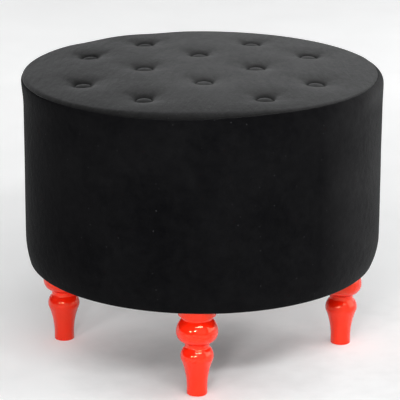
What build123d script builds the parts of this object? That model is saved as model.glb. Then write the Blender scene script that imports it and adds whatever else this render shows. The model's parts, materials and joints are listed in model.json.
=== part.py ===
from build123d import *
from math import acos, asin, cos, degrees, radians, sin, sqrt, tan
import os

# Round ottoman: a velvet drum with a button-tufted, crowned seat on four turned and lacquered legs.
# Millimetres. The origin is on the floor at the centre, +Z is up and the front faces -Y.

# Overall sizes
body_radius = 290.0
seat_height = 472.5
leg_length = 149.4
leg_inset = 59.0

# Fabric and padding
velvet_thickness = 1.5
wadding_thickness = 15.0
squeezed_wadding_thickness = 3.0
seat_foam_thickness = 55.0
side_foam_thickness = 10.0
layer_gap = 0.2
crown_height = 8.5
edge_roll_radius = 13.0
foam_edge_radius = 12.0
seam_inset = 4.0
bottom_curve_radius = 140.0
bottom_curve_height = 47.0
bottom_fold_radius = 5.0
sleeve_lift = 7.0
hem_width = 45.0
dust_cover_thickness = 0.5
dust_cover_inset = 17.0

# Button tufts, on a chequered grid that is shifted and turned a little against the legs. A few buttons
# are sewn to one side of their grid point, named here by column and row
tuft_pitch = 90.2
tuft_turn = 3.15
tuft_shift_x = -3.9
tuft_shift_y = 2.3
tuft_rows = 5
tuft_nudges = {(-2, -1): -6.0, (0, -1): 4.0, (1, -2): 5.5}
tuft_radius = 46.0
tuft_rim_slope = 8.0
button_radius = 12.7
button_height = 8.0
button_edge_height = 5.0
button_shank_radius = 2.5
button_clearance = 0.5
twine_radius = 1.5
twine_hole_radius = 4.0
washer_radius = 11.0
washer_thickness = 2.0
knot_radius = 4.0
knot_length = 6.0
knot_gap = 0.3
pass_clearance = 0.3

# Wooden frame
board_thickness = 18.0
wall_thickness = 3.0
wall_joint_gap = 2.0
post_count = 8
post_width = 60.0
post_depth = 28.0
frame_gap = 0.2

# Turned leg: heights of the upper turnings are measured down from its top face
foot_radius = 16.5
foot_straight_height = 10.5
foot_edge_radius = 1.0
shoulder_radius = 26.5
shoulder_under_radius = 14.6
shoulder_over_radius = 22.0
shoulder_depth = 86.5
neck_radius = 19.6
neck_cove_radius = 3.0
bulb_radius = 33.5
bulb_under_radius = 18.0
bulb_over_radius = 31.0
bulb_depth = 45.7
collar_radius = 30.2
collar_height = 17.0
collar_edge_radius = 2.0
collar_cove_height = 5.0
throat_radius = 24.2

# Hardware
bolt_radius = 4.0
bolt_depth_in_leg = 36.0
bolt_end_length = 8.0
thread_clearance = 0.1
nut_barrel_radius = 5.2
nut_barrel_length = 11.0
nut_flange_radius = 13.0
nut_flange_thickness = 1.6
felt_thickness = 0.6
felt_inset = 2.5
screw_radius = 2.2
screw_head_radius = 4.4
screw_length = 50.0
screw_tip_clearance = 2.0
countersink_angle = 90.0

# Heights worked out from the sizes above
leg_top = felt_thickness + leg_length
hem_bottom = leg_top + dust_cover_thickness
base_bottom = hem_bottom + velvet_thickness
base_top = base_bottom + board_thickness
cover_to_wadding = velvet_thickness + layer_gap
cover_to_foam = cover_to_wadding + wadding_thickness + layer_gap
deck_top = seat_height - cover_to_foam - seat_foam_thickness
deck_bottom = deck_top - board_thickness
tuft_depth = wadding_thickness - squeezed_wadding_thickness

# Radii worked out from the outside in
cover_inside = body_radius - velvet_thickness
side_foam_outside = cover_inside - layer_gap
side_foam_inside = side_foam_outside - side_foam_thickness
wall_outside = side_foam_inside - layer_gap
wall_inside = wall_outside - wall_thickness
board_radius = wall_inside - frame_gap
post_face = sqrt(board_radius**2 - (post_width / 2) ** 2)
post_circle = post_face - post_depth / 2
post_step = 360 / post_count
leg_circle = body_radius - leg_inset

# The crown is part of a sphere that runs on smoothly into the rolled edge
edge_centre = body_radius - edge_roll_radius
edge_height = seat_height - crown_height - edge_roll_radius
centre_distance = (edge_centre**2 + crown_height**2) / (2 * crown_height)
crown_radius = centre_distance + edge_roll_radius
crown_centre = seat_height - crown_radius
seam_radius = body_radius - seam_inset
seam_angle = degrees(acos((seam_radius - edge_centre) / edge_roll_radius))
seam_height = edge_height + edge_roll_radius * sin(radians(seam_angle))
seam_angle_inside = degrees(asin((seam_height - edge_height) / (edge_roll_radius - velvet_thickness)))

# The side is drawn in along a long curve above the bottom, then folds under the base
sleeve_bottom = base_bottom + sleeve_lift
bottom_curve_start = hem_bottom + bottom_curve_height
bottom_curve_centre = (body_radius - bottom_curve_radius, bottom_curve_start)
fold_distance = bottom_curve_radius - bottom_fold_radius
fold_angle = degrees(asin((bottom_curve_height - bottom_fold_radius) / fold_distance))
fold_reach = fold_distance * cos(radians(fold_angle))
fold_centre = (bottom_curve_centre[0] + fold_reach, hem_bottom + bottom_fold_radius)

legs_at = {"right": 0, "back": 90, "left": 180, "front": 270}


def on_crown(x: float, y: float) -> Vector:
    """Point of the untufted crown above a place on the floor plan."""
    return Vector(x, y, crown_centre + sqrt(crown_radius**2 - x**2 - y**2))


def tuft_centres() -> list[Vector]:
    """Places of the buttons on the crown, on every other point of a square grid."""
    half = tuft_rows // 2
    steps = range(-half, half + 1)
    grid = [
        Vector(column * tuft_pitch + tuft_nudges.get((column, row), 0), row * tuft_pitch, 0)
        for column in steps
        for row in steps
        if (column + row) % 2 == 1
    ]
    turned = [spot.rotate(Axis.Z, tuft_turn) for spot in grid]
    return [on_crown(spot.X + tuft_shift_x, spot.Y + tuft_shift_y) for spot in turned]


def tuft_axis_at(centre: Vector, height: float) -> Vector:
    """Point at a given height on the line that a tuft is pulled along."""
    share = (height - crown_centre) / (centre.Z - crown_centre)
    return Vector(centre.X * share, centre.Y * share, height)


tufts = tuft_centres()
tuft_planes = [Plane(spot, z_dir=spot - Vector(0, 0, crown_centre)) for spot in tufts]
tuft_places = [Location(plane) for plane in tuft_planes]


def dome(inset: float, base: float, roll_radius: float) -> Part:
    """Solid under the crown and a rolled edge, a given depth inside the velvet's face."""
    roll_centre = body_radius - inset - roll_radius
    roll_distance = crown_radius - inset - roll_radius
    roll_angle = degrees(acos(roll_centre / roll_distance))
    roll_height = crown_centre + sqrt(roll_distance**2 - roll_centre**2)
    with BuildPart() as form:
        with BuildSketch(Plane.XZ):
            with BuildLine():
                crown = CenterArc((0, crown_centre), crown_radius - inset, 90, roll_angle - 90)
                roll = CenterArc((roll_centre, roll_height), roll_radius, roll_angle, -roll_angle)
                Polyline(roll @ 1, (body_radius - inset, base), (0, base), crown @ 0)
            make_face()
        revolve(axis=Axis.Z)
    return form.part


def tuft_cutter(inset: float) -> Part:
    """Flared hollow of one tuft, with its origin on the crown's own surface."""
    seat = button_radius + button_clearance
    rim_in = (-cos(radians(tuft_rim_slope)), -sin(radians(tuft_rim_slope)))
    with BuildPart() as cutter:
        with BuildSketch(Plane.XZ):
            with BuildLine():
                flare = TangentArc(
                    (tuft_radius, -inset), (seat, -tuft_depth - inset), tangent=rim_in
                )
                Polyline(flare @ 1, (0, -tuft_depth - inset), (0, tuft_depth))
                Polyline((0, tuft_depth), (tuft_radius, tuft_depth), flare @ 0)
            make_face()
        revolve(axis=Axis.Z)
    return cutter.part


def tufted_dome(inset: float, base: float) -> Part:
    """The crowned form with all its tufts pulled in."""
    with BuildPart() as form:
        add(dome(inset, base, edge_roll_radius - inset))
        with Locations(*tuft_places):
            add(tuft_cutter(inset), mode=Mode.SUBTRACT)
    return form.part


def leg_plane(angle: float) -> Plane:
    """Upright plane through a leg's axis, with its origin at the foot and its Y axis up."""
    up = Vector(0, 0, 1)
    outward = Vector(1, 0, 0).rotate(Axis.Z, angle)
    return Plane(outward * leg_circle + up * felt_thickness, x_dir=outward, z_dir=outward.cross(up))


def turned_leg(angle: float) -> BuildPart:
    """One leg: collar, bulb, necks, shoulder and a shin that sweeps down to the foot."""
    shoulder_height = leg_length - shoulder_depth
    shoulder_under_centre = shoulder_radius - shoulder_under_radius
    shoulder_over_centre = shoulder_radius - shoulder_over_radius
    bulb_height = leg_length - bulb_depth
    collar_bottom = leg_length - collar_height

    # The shin's hollow sweep leaves the foot upright and meets the round shoulder smoothly
    offset_in = foot_radius - shoulder_under_centre
    rise = shoulder_height - foot_straight_height
    sweep_span = 2 * (shoulder_under_radius - offset_in)
    sweep = (rise**2 + offset_in**2 - shoulder_under_radius**2) / sweep_span
    sweep_angle = degrees(asin(rise / (sweep + shoulder_under_radius)))
    neck_angle = degrees(acos((neck_radius - shoulder_over_centre) / shoulder_over_radius))
    bulb_under_centre = bulb_radius - bulb_under_radius
    bulb_start = degrees(acos((neck_radius - bulb_under_centre) / bulb_under_radius))
    bulb_over_centre = bulb_radius - bulb_over_radius
    bulb_end = degrees(acos((throat_radius - bulb_over_centre) / bulb_over_radius))

    plane = leg_plane(angle)
    with BuildPart() as leg:
        with BuildSketch(plane):
            with BuildLine():
                shin = CenterArc((foot_radius + sweep, foot_straight_height), sweep, 180, -sweep_angle)
                CenterArc(
                    (shoulder_under_centre, shoulder_height),
                    shoulder_under_radius,
                    -sweep_angle,
                    sweep_angle,
                )
                shoulder = CenterArc(
                    (shoulder_over_centre, shoulder_height), shoulder_over_radius, 0, neck_angle
                )
                lower_bulb = CenterArc(
                    (bulb_under_centre, bulb_height), bulb_under_radius, -bulb_start, bulb_start
                )
                upper_bulb = CenterArc((bulb_over_centre, bulb_height), bulb_over_radius, 0, bulb_end)
                Line(shoulder @ 1, lower_bulb @ 0)
                throat = Line(upper_bulb @ 1, (throat_radius, collar_bottom - collar_cove_height))
                cove = TangentArc(throat @ 1, (collar_radius, collar_bottom), tangent=(0, 1))
                Polyline(cove @ 1, (collar_radius, leg_length), (0, leg_length))
                Polyline((0, leg_length), (0, 0), (foot_radius, 0), shin @ 0)
            make_face()
        revolve(axis=Axis(plane.origin, (0, 0, 1)))
        rings = leg.edges().filter_by(GeomType.CIRCLE).group_by(Axis.Z)
        fillet(rings[0], foot_edge_radius)
        fillet(rings[-1], collar_edge_radius)
        neck_rings = leg.edges().filter_by(GeomType.CIRCLE).filter_by(
            lambda ring: abs(ring.radius - neck_radius) < thread_clearance
        )
        fillet(neck_rings, neck_cove_radius)
        with Locations(plane.origin + Vector(0, 0, leg_length)):
            Hole(bolt_radius + thread_clearance, bolt_depth_in_leg)
    return leg


def export(piece: BuildPart, name: str) -> None:
    """Name a finished piece and write it to its own file."""
    piece.part.label = name
    export_step(piece.part, f"parts/{name}.step")


os.makedirs("parts", exist_ok=True)

# Lower plywood disc: it carries the posts and takes the leg bolts
with BuildPart() as base_board:
    with BuildSketch(Plane.XY.offset(base_bottom)):
        Circle(board_radius)
        with PolarLocations(leg_circle, len(legs_at)):
            Circle(nut_barrel_radius + frame_gap, mode=Mode.SUBTRACT)
    extrude(amount=board_thickness)
    with Locations(Plane.XY.offset(base_bottom) * Rotation(180, 0, 0)):
        with PolarLocations(post_circle, post_count, start_angle=post_step / 2):
            CounterSinkHole(
                screw_radius + frame_gap,
                screw_head_radius + frame_gap,
                board_thickness,
                countersink_angle,
            )
export(base_board, "base_board")

# Upper plywood disc: the seat's deck, drilled for the tufting twines
with BuildPart() as deck_board:
    with BuildSketch(Plane.XY.offset(deck_bottom)):
        Circle(board_radius)
        with Locations(*[tuft_axis_at(spot, deck_bottom) for spot in tufts]):
            Circle(twine_hole_radius, mode=Mode.SUBTRACT)
    extrude(amount=board_thickness)
    with Locations(Plane.XY.offset(deck_top)):
        with PolarLocations(post_circle, post_count, start_angle=post_step / 2):
            CounterSinkHole(
                screw_radius + frame_gap,
                screw_head_radius + frame_gap,
                board_thickness,
                countersink_angle,
            )
export(deck_board, "deck_board")

# Posts between the two discs, each with a pilot hole at both ends
for number in range(post_count):
    outward = Vector(1, 0, 0).rotate(Axis.Z, (number + 0.5) * post_step)
    foot = Plane(outward * post_circle + Vector(0, 0, base_top), x_dir=outward)
    pilot_depth = screw_length - board_thickness + screw_tip_clearance
    with BuildPart() as post:
        with BuildSketch(foot):
            Rectangle(post_depth, post_width)
        extrude(amount=deck_bottom - base_top)
        for end in (post.faces().sort_by(Axis.Z)[-1], post.faces().sort_by(Axis.Z)[0]):
            with Locations(Plane(end)):
                Hole(screw_radius + frame_gap, pilot_depth)
    export(post, f"frame_post_{number + 1}")

# Bent hardboard wall round both discs, butted together over one post
with BuildPart() as wall_panel:
    with BuildSketch(Plane.XY.offset(sleeve_bottom)):
        Circle(wall_outside)
        Circle(wall_inside, mode=Mode.SUBTRACT)
        with PolarLocations(wall_outside, 1, start_angle=90 + post_step / 2):
            Rectangle(4 * wall_thickness, wall_joint_gap, mode=Mode.SUBTRACT)
    extrude(amount=deck_top - sleeve_bottom)
export(wall_panel, "wall_panel")

# Foam sleeve round the wall, drawn in thin towards the bottom
with BuildPart() as side_foam:
    foam_curve_radius = bottom_curve_radius - velvet_thickness - layer_gap
    foam_end = degrees(asin((bottom_curve_start - sleeve_bottom) / foam_curve_radius))
    with BuildSketch(Plane.XZ):
        with BuildLine():
            foam_curve = CenterArc(bottom_curve_centre, foam_curve_radius, -foam_end, foam_end)
            Polyline(
                foam_curve @ 1,
                (side_foam_outside, deck_top),
                (side_foam_inside, deck_top),
                (side_foam_inside, sleeve_bottom),
                foam_curve @ 0,
            )
        make_face()
    revolve(axis=Axis.Z)
export(side_foam, "side_foam")

# Crowned block of seat foam on the deck
with BuildPart() as seat_foam:
    add(dome(cover_to_foam, deck_top, foam_edge_radius))
    with Locations(*tuft_places):
        Cylinder(twine_radius + pass_clearance, seat_height, mode=Mode.SUBTRACT)
export(seat_foam, "seat_foam")

# Fibre wadding over the foam, squeezed thin under each button
with BuildPart() as seat_wadding:
    add(tufted_dome(cover_to_wadding, deck_top))
    foam_room = dome(cover_to_foam - layer_gap, deck_bottom, foam_edge_radius + layer_gap)
    add(foam_room, mode=Mode.SUBTRACT)
    with Locations(*tuft_places):
        Cylinder(button_shank_radius + pass_clearance, seat_height, mode=Mode.SUBTRACT)
export(seat_wadding, "seat_wadding")

# Velvet top panel: crown, rolled edge down to the seam, and a sewn tuft at each button
with BuildPart() as top_cover:
    add(tufted_dome(0, deck_top))
    add(tufted_dome(velvet_thickness, deck_bottom), mode=Mode.SUBTRACT)
    with BuildSketch(Plane.XY.offset(seam_height)):
        Circle(body_radius + seam_inset)
        Circle(edge_centre, mode=Mode.SUBTRACT)
    extrude(amount=deck_bottom - seam_height, mode=Mode.SUBTRACT)
    with Locations(*tuft_places):
        Cylinder(button_shank_radius + pass_clearance, seat_height, mode=Mode.SUBTRACT)
export(top_cover, "top_cover")

# Velvet side panel, from the seam down the drum and turned under the base
with BuildPart() as side_cover:
    with BuildSketch(Plane.XZ):
        with BuildLine():
            outer_roll = CenterArc((edge_centre, edge_height), edge_roll_radius, 0, seam_angle)
            lining_radius = edge_roll_radius - velvet_thickness
            inner_roll = CenterArc((edge_centre, edge_height), lining_radius, 0, seam_angle_inside)
            Line(outer_roll @ 1, inner_roll @ 1)
            curve_inside = bottom_curve_radius - velvet_thickness
            fold_inside = bottom_fold_radius - velvet_thickness
            outer_curve = CenterArc(bottom_curve_centre, bottom_curve_radius, 0, -fold_angle)
            inner_curve = CenterArc(bottom_curve_centre, curve_inside, 0, -fold_angle)
            outer_fold = CenterArc(fold_centre, bottom_fold_radius, -fold_angle, fold_angle - 90)
            inner_fold = CenterArc(fold_centre, fold_inside, -fold_angle, fold_angle - 90)
            Line(outer_roll @ 0, outer_curve @ 0)
            Line(inner_roll @ 0, inner_curve @ 0)
            hem_edge = body_radius - hem_width
            Polyline(outer_fold @ 1, (hem_edge, hem_bottom), (hem_edge, base_bottom), inner_fold @ 1)
        make_face()
    revolve(axis=Axis.Z)
    with BuildSketch(Plane.XY.offset(hem_bottom)):
        with PolarLocations(leg_circle, len(legs_at)):
            Circle(bolt_radius + pass_clearance)
    extrude(amount=velvet_thickness, mode=Mode.SUBTRACT)
export(side_cover, "side_cover")

# Black woven dust cover under the base, tacked over the velvet's hem
with BuildPart() as dust_cover:
    with BuildSketch(Plane.XY.offset(leg_top)):
        Circle(body_radius - dust_cover_inset)
        with PolarLocations(leg_circle, len(legs_at)):
            Circle(bolt_radius + pass_clearance, mode=Mode.SUBTRACT)
    extrude(amount=dust_cover_thickness)
export(dust_cover, "dust_cover")

# Covered buttons with a shank that goes down through velvet and wadding
shank_length = velvet_thickness + layer_gap + squeezed_wadding_thickness
cap_rise = button_height - button_edge_height
cap_radius = (button_radius**2 + cap_rise**2) / (2 * cap_rise)
with BuildPart() as button:
    with BuildSketch(Plane.XZ):
        with BuildLine():
            rim = (button_radius, button_edge_height - tuft_depth)
            crown_top = (0, button_height - tuft_depth)
            cap = RadiusArc(rim, crown_top, -cap_radius)
            Polyline(
                crown_top,
                (0, -tuft_depth - shank_length),
                (button_shank_radius, -tuft_depth - shank_length),
                (button_shank_radius, -tuft_depth),
                (button_radius, -tuft_depth),
                rim,
            )
        make_face()
    revolve(axis=Axis.Z)
with BuildPart() as tuft_buttons:
    with Locations(*tuft_places):
        add(button.part)
export(tuft_buttons, "tuft_buttons")

# Tufting twines, each from its button's shank to a knot under the deck
twine_start = tuft_depth + shank_length
washer_bottom = deck_bottom - washer_thickness
with BuildPart() as button_twines:
    for spot, plane in zip(tufts, tuft_planes):
        to_knot = (spot - tuft_axis_at(spot, washer_bottom - knot_gap)).length
        with BuildSketch(plane.offset(-twine_start)):
            Circle(twine_radius)
        extrude(amount=twine_start - to_knot - knot_length)
        with BuildSketch(plane.offset(-to_knot)):
            Circle(knot_radius)
        extrude(amount=-knot_length)
export(button_twines, "button_twines")

# Washers that spread each twine's pull on the deck's underside
with BuildPart() as twine_washers:
    with BuildSketch(Plane.XY.offset(washer_bottom)):
        with Locations(*[tuft_axis_at(spot, washer_bottom) for spot in tufts]):
            Circle(washer_radius)
            Circle(twine_radius + pass_clearance, mode=Mode.SUBTRACT)
    extrude(amount=washer_thickness)
export(twine_washers, "twine_washers")

# Turned legs, a quarter turn apart
for side, angle in legs_at.items():
    export(turned_leg(angle), f"leg_{side}")

# Hanger bolts: wood thread in the leg, machine thread up through the base
with BuildPart() as hanger_bolts:
    with BuildSketch(Plane.XY.offset(leg_top - bolt_depth_in_leg)):
        with PolarLocations(leg_circle, len(legs_at)):
            Circle(bolt_radius)
    extrude(amount=bolt_depth_in_leg + base_top - leg_top + bolt_end_length)
export(hanger_bolts, "hanger_bolts")

# Tee nuts let into the top face of the base board
with BuildPart() as tee_nuts:
    with BuildSketch(Plane.XY.offset(base_top)):
        with PolarLocations(leg_circle, len(legs_at)):
            Circle(nut_flange_radius)
            Circle(bolt_radius + thread_clearance, mode=Mode.SUBTRACT)
    extrude(amount=nut_flange_thickness)
    with BuildSketch(Plane.XY.offset(base_top)):
        with PolarLocations(leg_circle, len(legs_at)):
            Circle(nut_barrel_radius)
            Circle(bolt_radius + thread_clearance, mode=Mode.SUBTRACT)
    extrude(amount=-nut_barrel_length)
export(tee_nuts, "tee_nuts")

# Felt pads under the feet
with BuildPart() as felt_pads:
    with BuildSketch():
        with PolarLocations(leg_circle, len(legs_at)):
            Circle(foot_radius - felt_inset)
    extrude(amount=felt_thickness)
export(felt_pads, "felt_pads")


def wood_screws(head: Plane, name: str) -> None:
    """A ring of countersunk screws, one for each post, with their heads on a given plane."""
    head_depth = (screw_head_radius - screw_radius) / tan(radians(countersink_angle / 2))
    with BuildPart() as screws:
        with BuildSketch(head):
            with PolarLocations(post_circle, post_count, start_angle=post_step / 2):
                Circle(screw_radius)
        extrude(amount=-screw_length)
        with Locations(head):
            with PolarLocations(post_circle, post_count, start_angle=post_step / 2):
                Cone(
                    screw_radius,
                    screw_head_radius,
                    head_depth,
                    align=(Align.CENTER, Align.CENTER, Align.MAX),
                )
    export(screws, name)


wood_screws(Plane.XY.offset(deck_top), "deck_screws")
wood_screws(Plane.XY.offset(base_bottom) * Rotation(180, 0, 0), "base_screws")
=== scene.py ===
"""A round button-tufted ottoman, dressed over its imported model.

The velvet seat and side, the covered buttons, the padding, the twines, the dust cover and the felt
pads are modelled here. The turned legs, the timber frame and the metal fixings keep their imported
shapes and get their finishes. Lengths are metres, +Z is up and the front faces -Y.
"""

from __future__ import annotations

import json
import logging
import math
from dataclasses import dataclass, field
from enum import Enum
from typing import Any, Sequence

import bpy
import numpy as np
from mathutils import Euler, Matrix, Vector

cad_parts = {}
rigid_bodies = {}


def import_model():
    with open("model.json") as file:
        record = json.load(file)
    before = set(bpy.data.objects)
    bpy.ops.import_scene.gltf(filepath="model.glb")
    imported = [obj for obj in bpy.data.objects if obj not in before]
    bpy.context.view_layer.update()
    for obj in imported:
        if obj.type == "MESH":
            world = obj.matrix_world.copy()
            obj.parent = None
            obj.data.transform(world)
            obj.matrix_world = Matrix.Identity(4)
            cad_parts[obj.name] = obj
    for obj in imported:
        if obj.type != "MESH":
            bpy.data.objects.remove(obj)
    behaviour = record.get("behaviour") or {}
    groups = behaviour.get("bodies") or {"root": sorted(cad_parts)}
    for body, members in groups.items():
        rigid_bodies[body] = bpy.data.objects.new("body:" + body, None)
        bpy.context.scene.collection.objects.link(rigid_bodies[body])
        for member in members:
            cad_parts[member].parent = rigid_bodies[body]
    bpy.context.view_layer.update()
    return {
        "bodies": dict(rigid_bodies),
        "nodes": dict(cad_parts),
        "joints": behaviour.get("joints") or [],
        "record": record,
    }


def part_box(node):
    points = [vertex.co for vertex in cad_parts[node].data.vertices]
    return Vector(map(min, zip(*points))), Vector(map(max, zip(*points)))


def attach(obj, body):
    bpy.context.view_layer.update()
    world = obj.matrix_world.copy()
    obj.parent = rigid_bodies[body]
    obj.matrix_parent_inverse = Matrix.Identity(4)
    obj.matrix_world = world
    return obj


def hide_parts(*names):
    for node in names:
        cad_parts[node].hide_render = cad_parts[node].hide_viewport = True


log = logging.getLogger("ottoman")

BODY = "root"
MM = 0.001
# Point attribute, the share of the way into a pit, that sets the velvet's painted shade there.
PIT_SHADE_SHARE = "tucked"
UP = (0.0, 0.0, 1.0)
Colour = tuple[float, float, float]
Face = tuple[int, ...]
Ring = tuple[np.ndarray, np.ndarray]
Span = tuple[float, float]


class Val:
    """One shader value, with arithmetic that adds Math nodes."""

    def __init__(self, tree: NodeGraph, socket: bpy.types.NodeSocket) -> None:
        """Wrap an output socket of a tree."""
        self.tree = tree
        self.socket = socket

    def __add__(self, other: Val | float) -> Val:
        """Sum of two values."""
        return self.tree.math("ADD", self, other)

    def __radd__(self, other: float) -> Val:
        """Sum of a number and this value."""
        return self.tree.math("ADD", other, self)

    def __sub__(self, other: Val | float) -> Val:
        """Difference of two values."""
        return self.tree.math("SUBTRACT", self, other)

    def __rsub__(self, other: float) -> Val:
        """A number less this value."""
        return self.tree.math("SUBTRACT", other, self)

    def __mul__(self, other: Val | float) -> Val:
        """Product of two values."""
        return self.tree.math("MULTIPLY", self, other)

    def __rmul__(self, other: float) -> Val:
        """Product of a number and this value."""
        return self.tree.math("MULTIPLY", other, self)


class NodeGraph:
    """Shader nodes of a material or of the world."""

    def __init__(self, graph: bpy.types.NodeTree) -> None:
        """Start with an empty graph.

        Args:
            graph: The tree that the nodes go into.
        """
        self.graph = graph
        self.graph.nodes.clear()

    def node(self, kind: str, settings: dict[str, Any], sockets: dict[Any, Any]) -> bpy.types.Node:
        """Add a node.

        Args:
            kind: The node's type.
            settings: Its properties, set first.
            sockets: Values or links of its inputs, by name or index.

        Returns:
            The new node.
        """
        made = self.graph.nodes.new(kind)
        for key, value in settings.items():
            setattr(made, key, value)
        for key, value in sockets.items():
            self.feed(made.inputs[key], value)
        return made

    def feed(self, socket: bpy.types.NodeSocket, value: Any) -> None:
        """Link a value to a socket, or set the socket's own number or colour.

        Args:
            socket: The input.
            value: A value of the graph, or a plain number, colour or vector.
        """
        if isinstance(value, Val):
            self.graph.links.new(value.socket, socket)
        elif socket.type == "RGBA" and len(value) == 3:
            socket.default_value = (*value, 1)
        else:
            socket.default_value = value

    def out(self, node: bpy.types.Node, name: str | int = 0) -> Val:
        """One output of a node as a value."""
        return Val(self, node.outputs[name])

    def math(self, operation: str, first: Val | float, second: Val | float) -> Val:
        """Result of one Math node."""
        return self.out(self.node("ShaderNodeMath", {"operation": operation}, {0: first, 1: second}))

    def axis(self, place: Val, name: str) -> Val:
        """One coordinate, X, Y or Z, of a place."""
        return self.out(self.node("ShaderNodeSeparateXYZ", {}, {0: place}), name)

    def stretch(self, value: Val, low: float, high: float) -> Val:
        """Spread a value so that low becomes 0 and high becomes 1."""
        sockets = {"Value": value, "From Min": low, "From Max": high}
        return self.out(self.node("ShaderNodeMapRange", {"clamp": True}, sockets))

    def blend(self, share: Val, first: Colour | Val, second: Colour | Val) -> Val:
        """Colour between two others."""
        made = self.node("ShaderNodeMix", {"data_type": "RGBA"}, {0: share, 6: first, 7: second})
        return self.out(made, 2)

    def close(self, shader: bpy.types.Node, output: str) -> None:
        """Join the last shader to an output node of a given type."""
        self.graph.links.new(shader.outputs[0], self.node(output, {}, {}).inputs["Surface"])


class ShaderTree(NodeGraph):
    """One material and the nodes that make it."""

    def __init__(self, name: str) -> None:
        """Start an empty material.

        Args:
            name: The material's name.
        """
        self.material = bpy.data.materials.new(name)
        self.material.use_nodes = True
        super().__init__(self.material.node_tree)

    def place(self, stretch: Sequence[float] = (1, 1, 1)) -> Val:
        """Object coordinates, scaled along each axis."""
        spot = self.out(self.node("ShaderNodeTexCoord", {}, {}), "Object")
        return self.out(self.node("ShaderNodeMapping", {}, {"Vector": spot, "Scale": tuple(stretch)}))

    def noise(self, place: Val, scale: float, detail: float = 2.0, rough: float = 0.5) -> Val:
        """Noise from 0 to 1.

        Args:
            place: Where it is read.
            scale: Lumps per metre.
            detail: Octaves added.
            rough: Weight of the finer octaves.

        Returns:
            The noise value.
        """
        sockets = {"Vector": place, "Scale": scale, "Detail": detail, "Roughness": rough}
        return self.out(self.node("ShaderNodeTexNoise", {}, sockets))

    def attribute(self, name: str) -> Val:
        """A number stored on the piece's points, 0 where it has none."""
        return self.out(self.node("ShaderNodeAttribute", {"attribute_name": name}, {}), "Fac")

    def cells(self, place: Val, scale: float) -> bpy.types.Node:
        """Scattered cells, with a Distance and a random Color for each."""
        return self.node("ShaderNodeTexVoronoi", {}, {"Vector": place, "Scale": scale})

    def bump(self, height: Val, depth: float, normal: Val | None = None) -> Val:
        """Normal of a raised surface.

        Args:
            height: Height from 0 to 1.
            depth: Real height of 1, in metres.
            normal: A normal to build on.

        Returns:
            The bent normal.
        """
        sockets: dict[str, Any] = {"Height": height, "Strength": 1.0, "Distance": depth}
        if normal is not None:
            sockets["Normal"] = normal
        return self.out(self.node("ShaderNodeBump", {}, sockets))

    def finish(self, sockets: dict[str, Any]) -> bpy.types.Material:
        """Close the tree with a Principled shader.

        Args:
            sockets: The shader's inputs.

        Returns:
            The finished material.
        """
        self.close(self.node("ShaderNodeBsdfPrincipled", {}, sockets), "ShaderNodeOutputMaterial")
        return self.material


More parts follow.
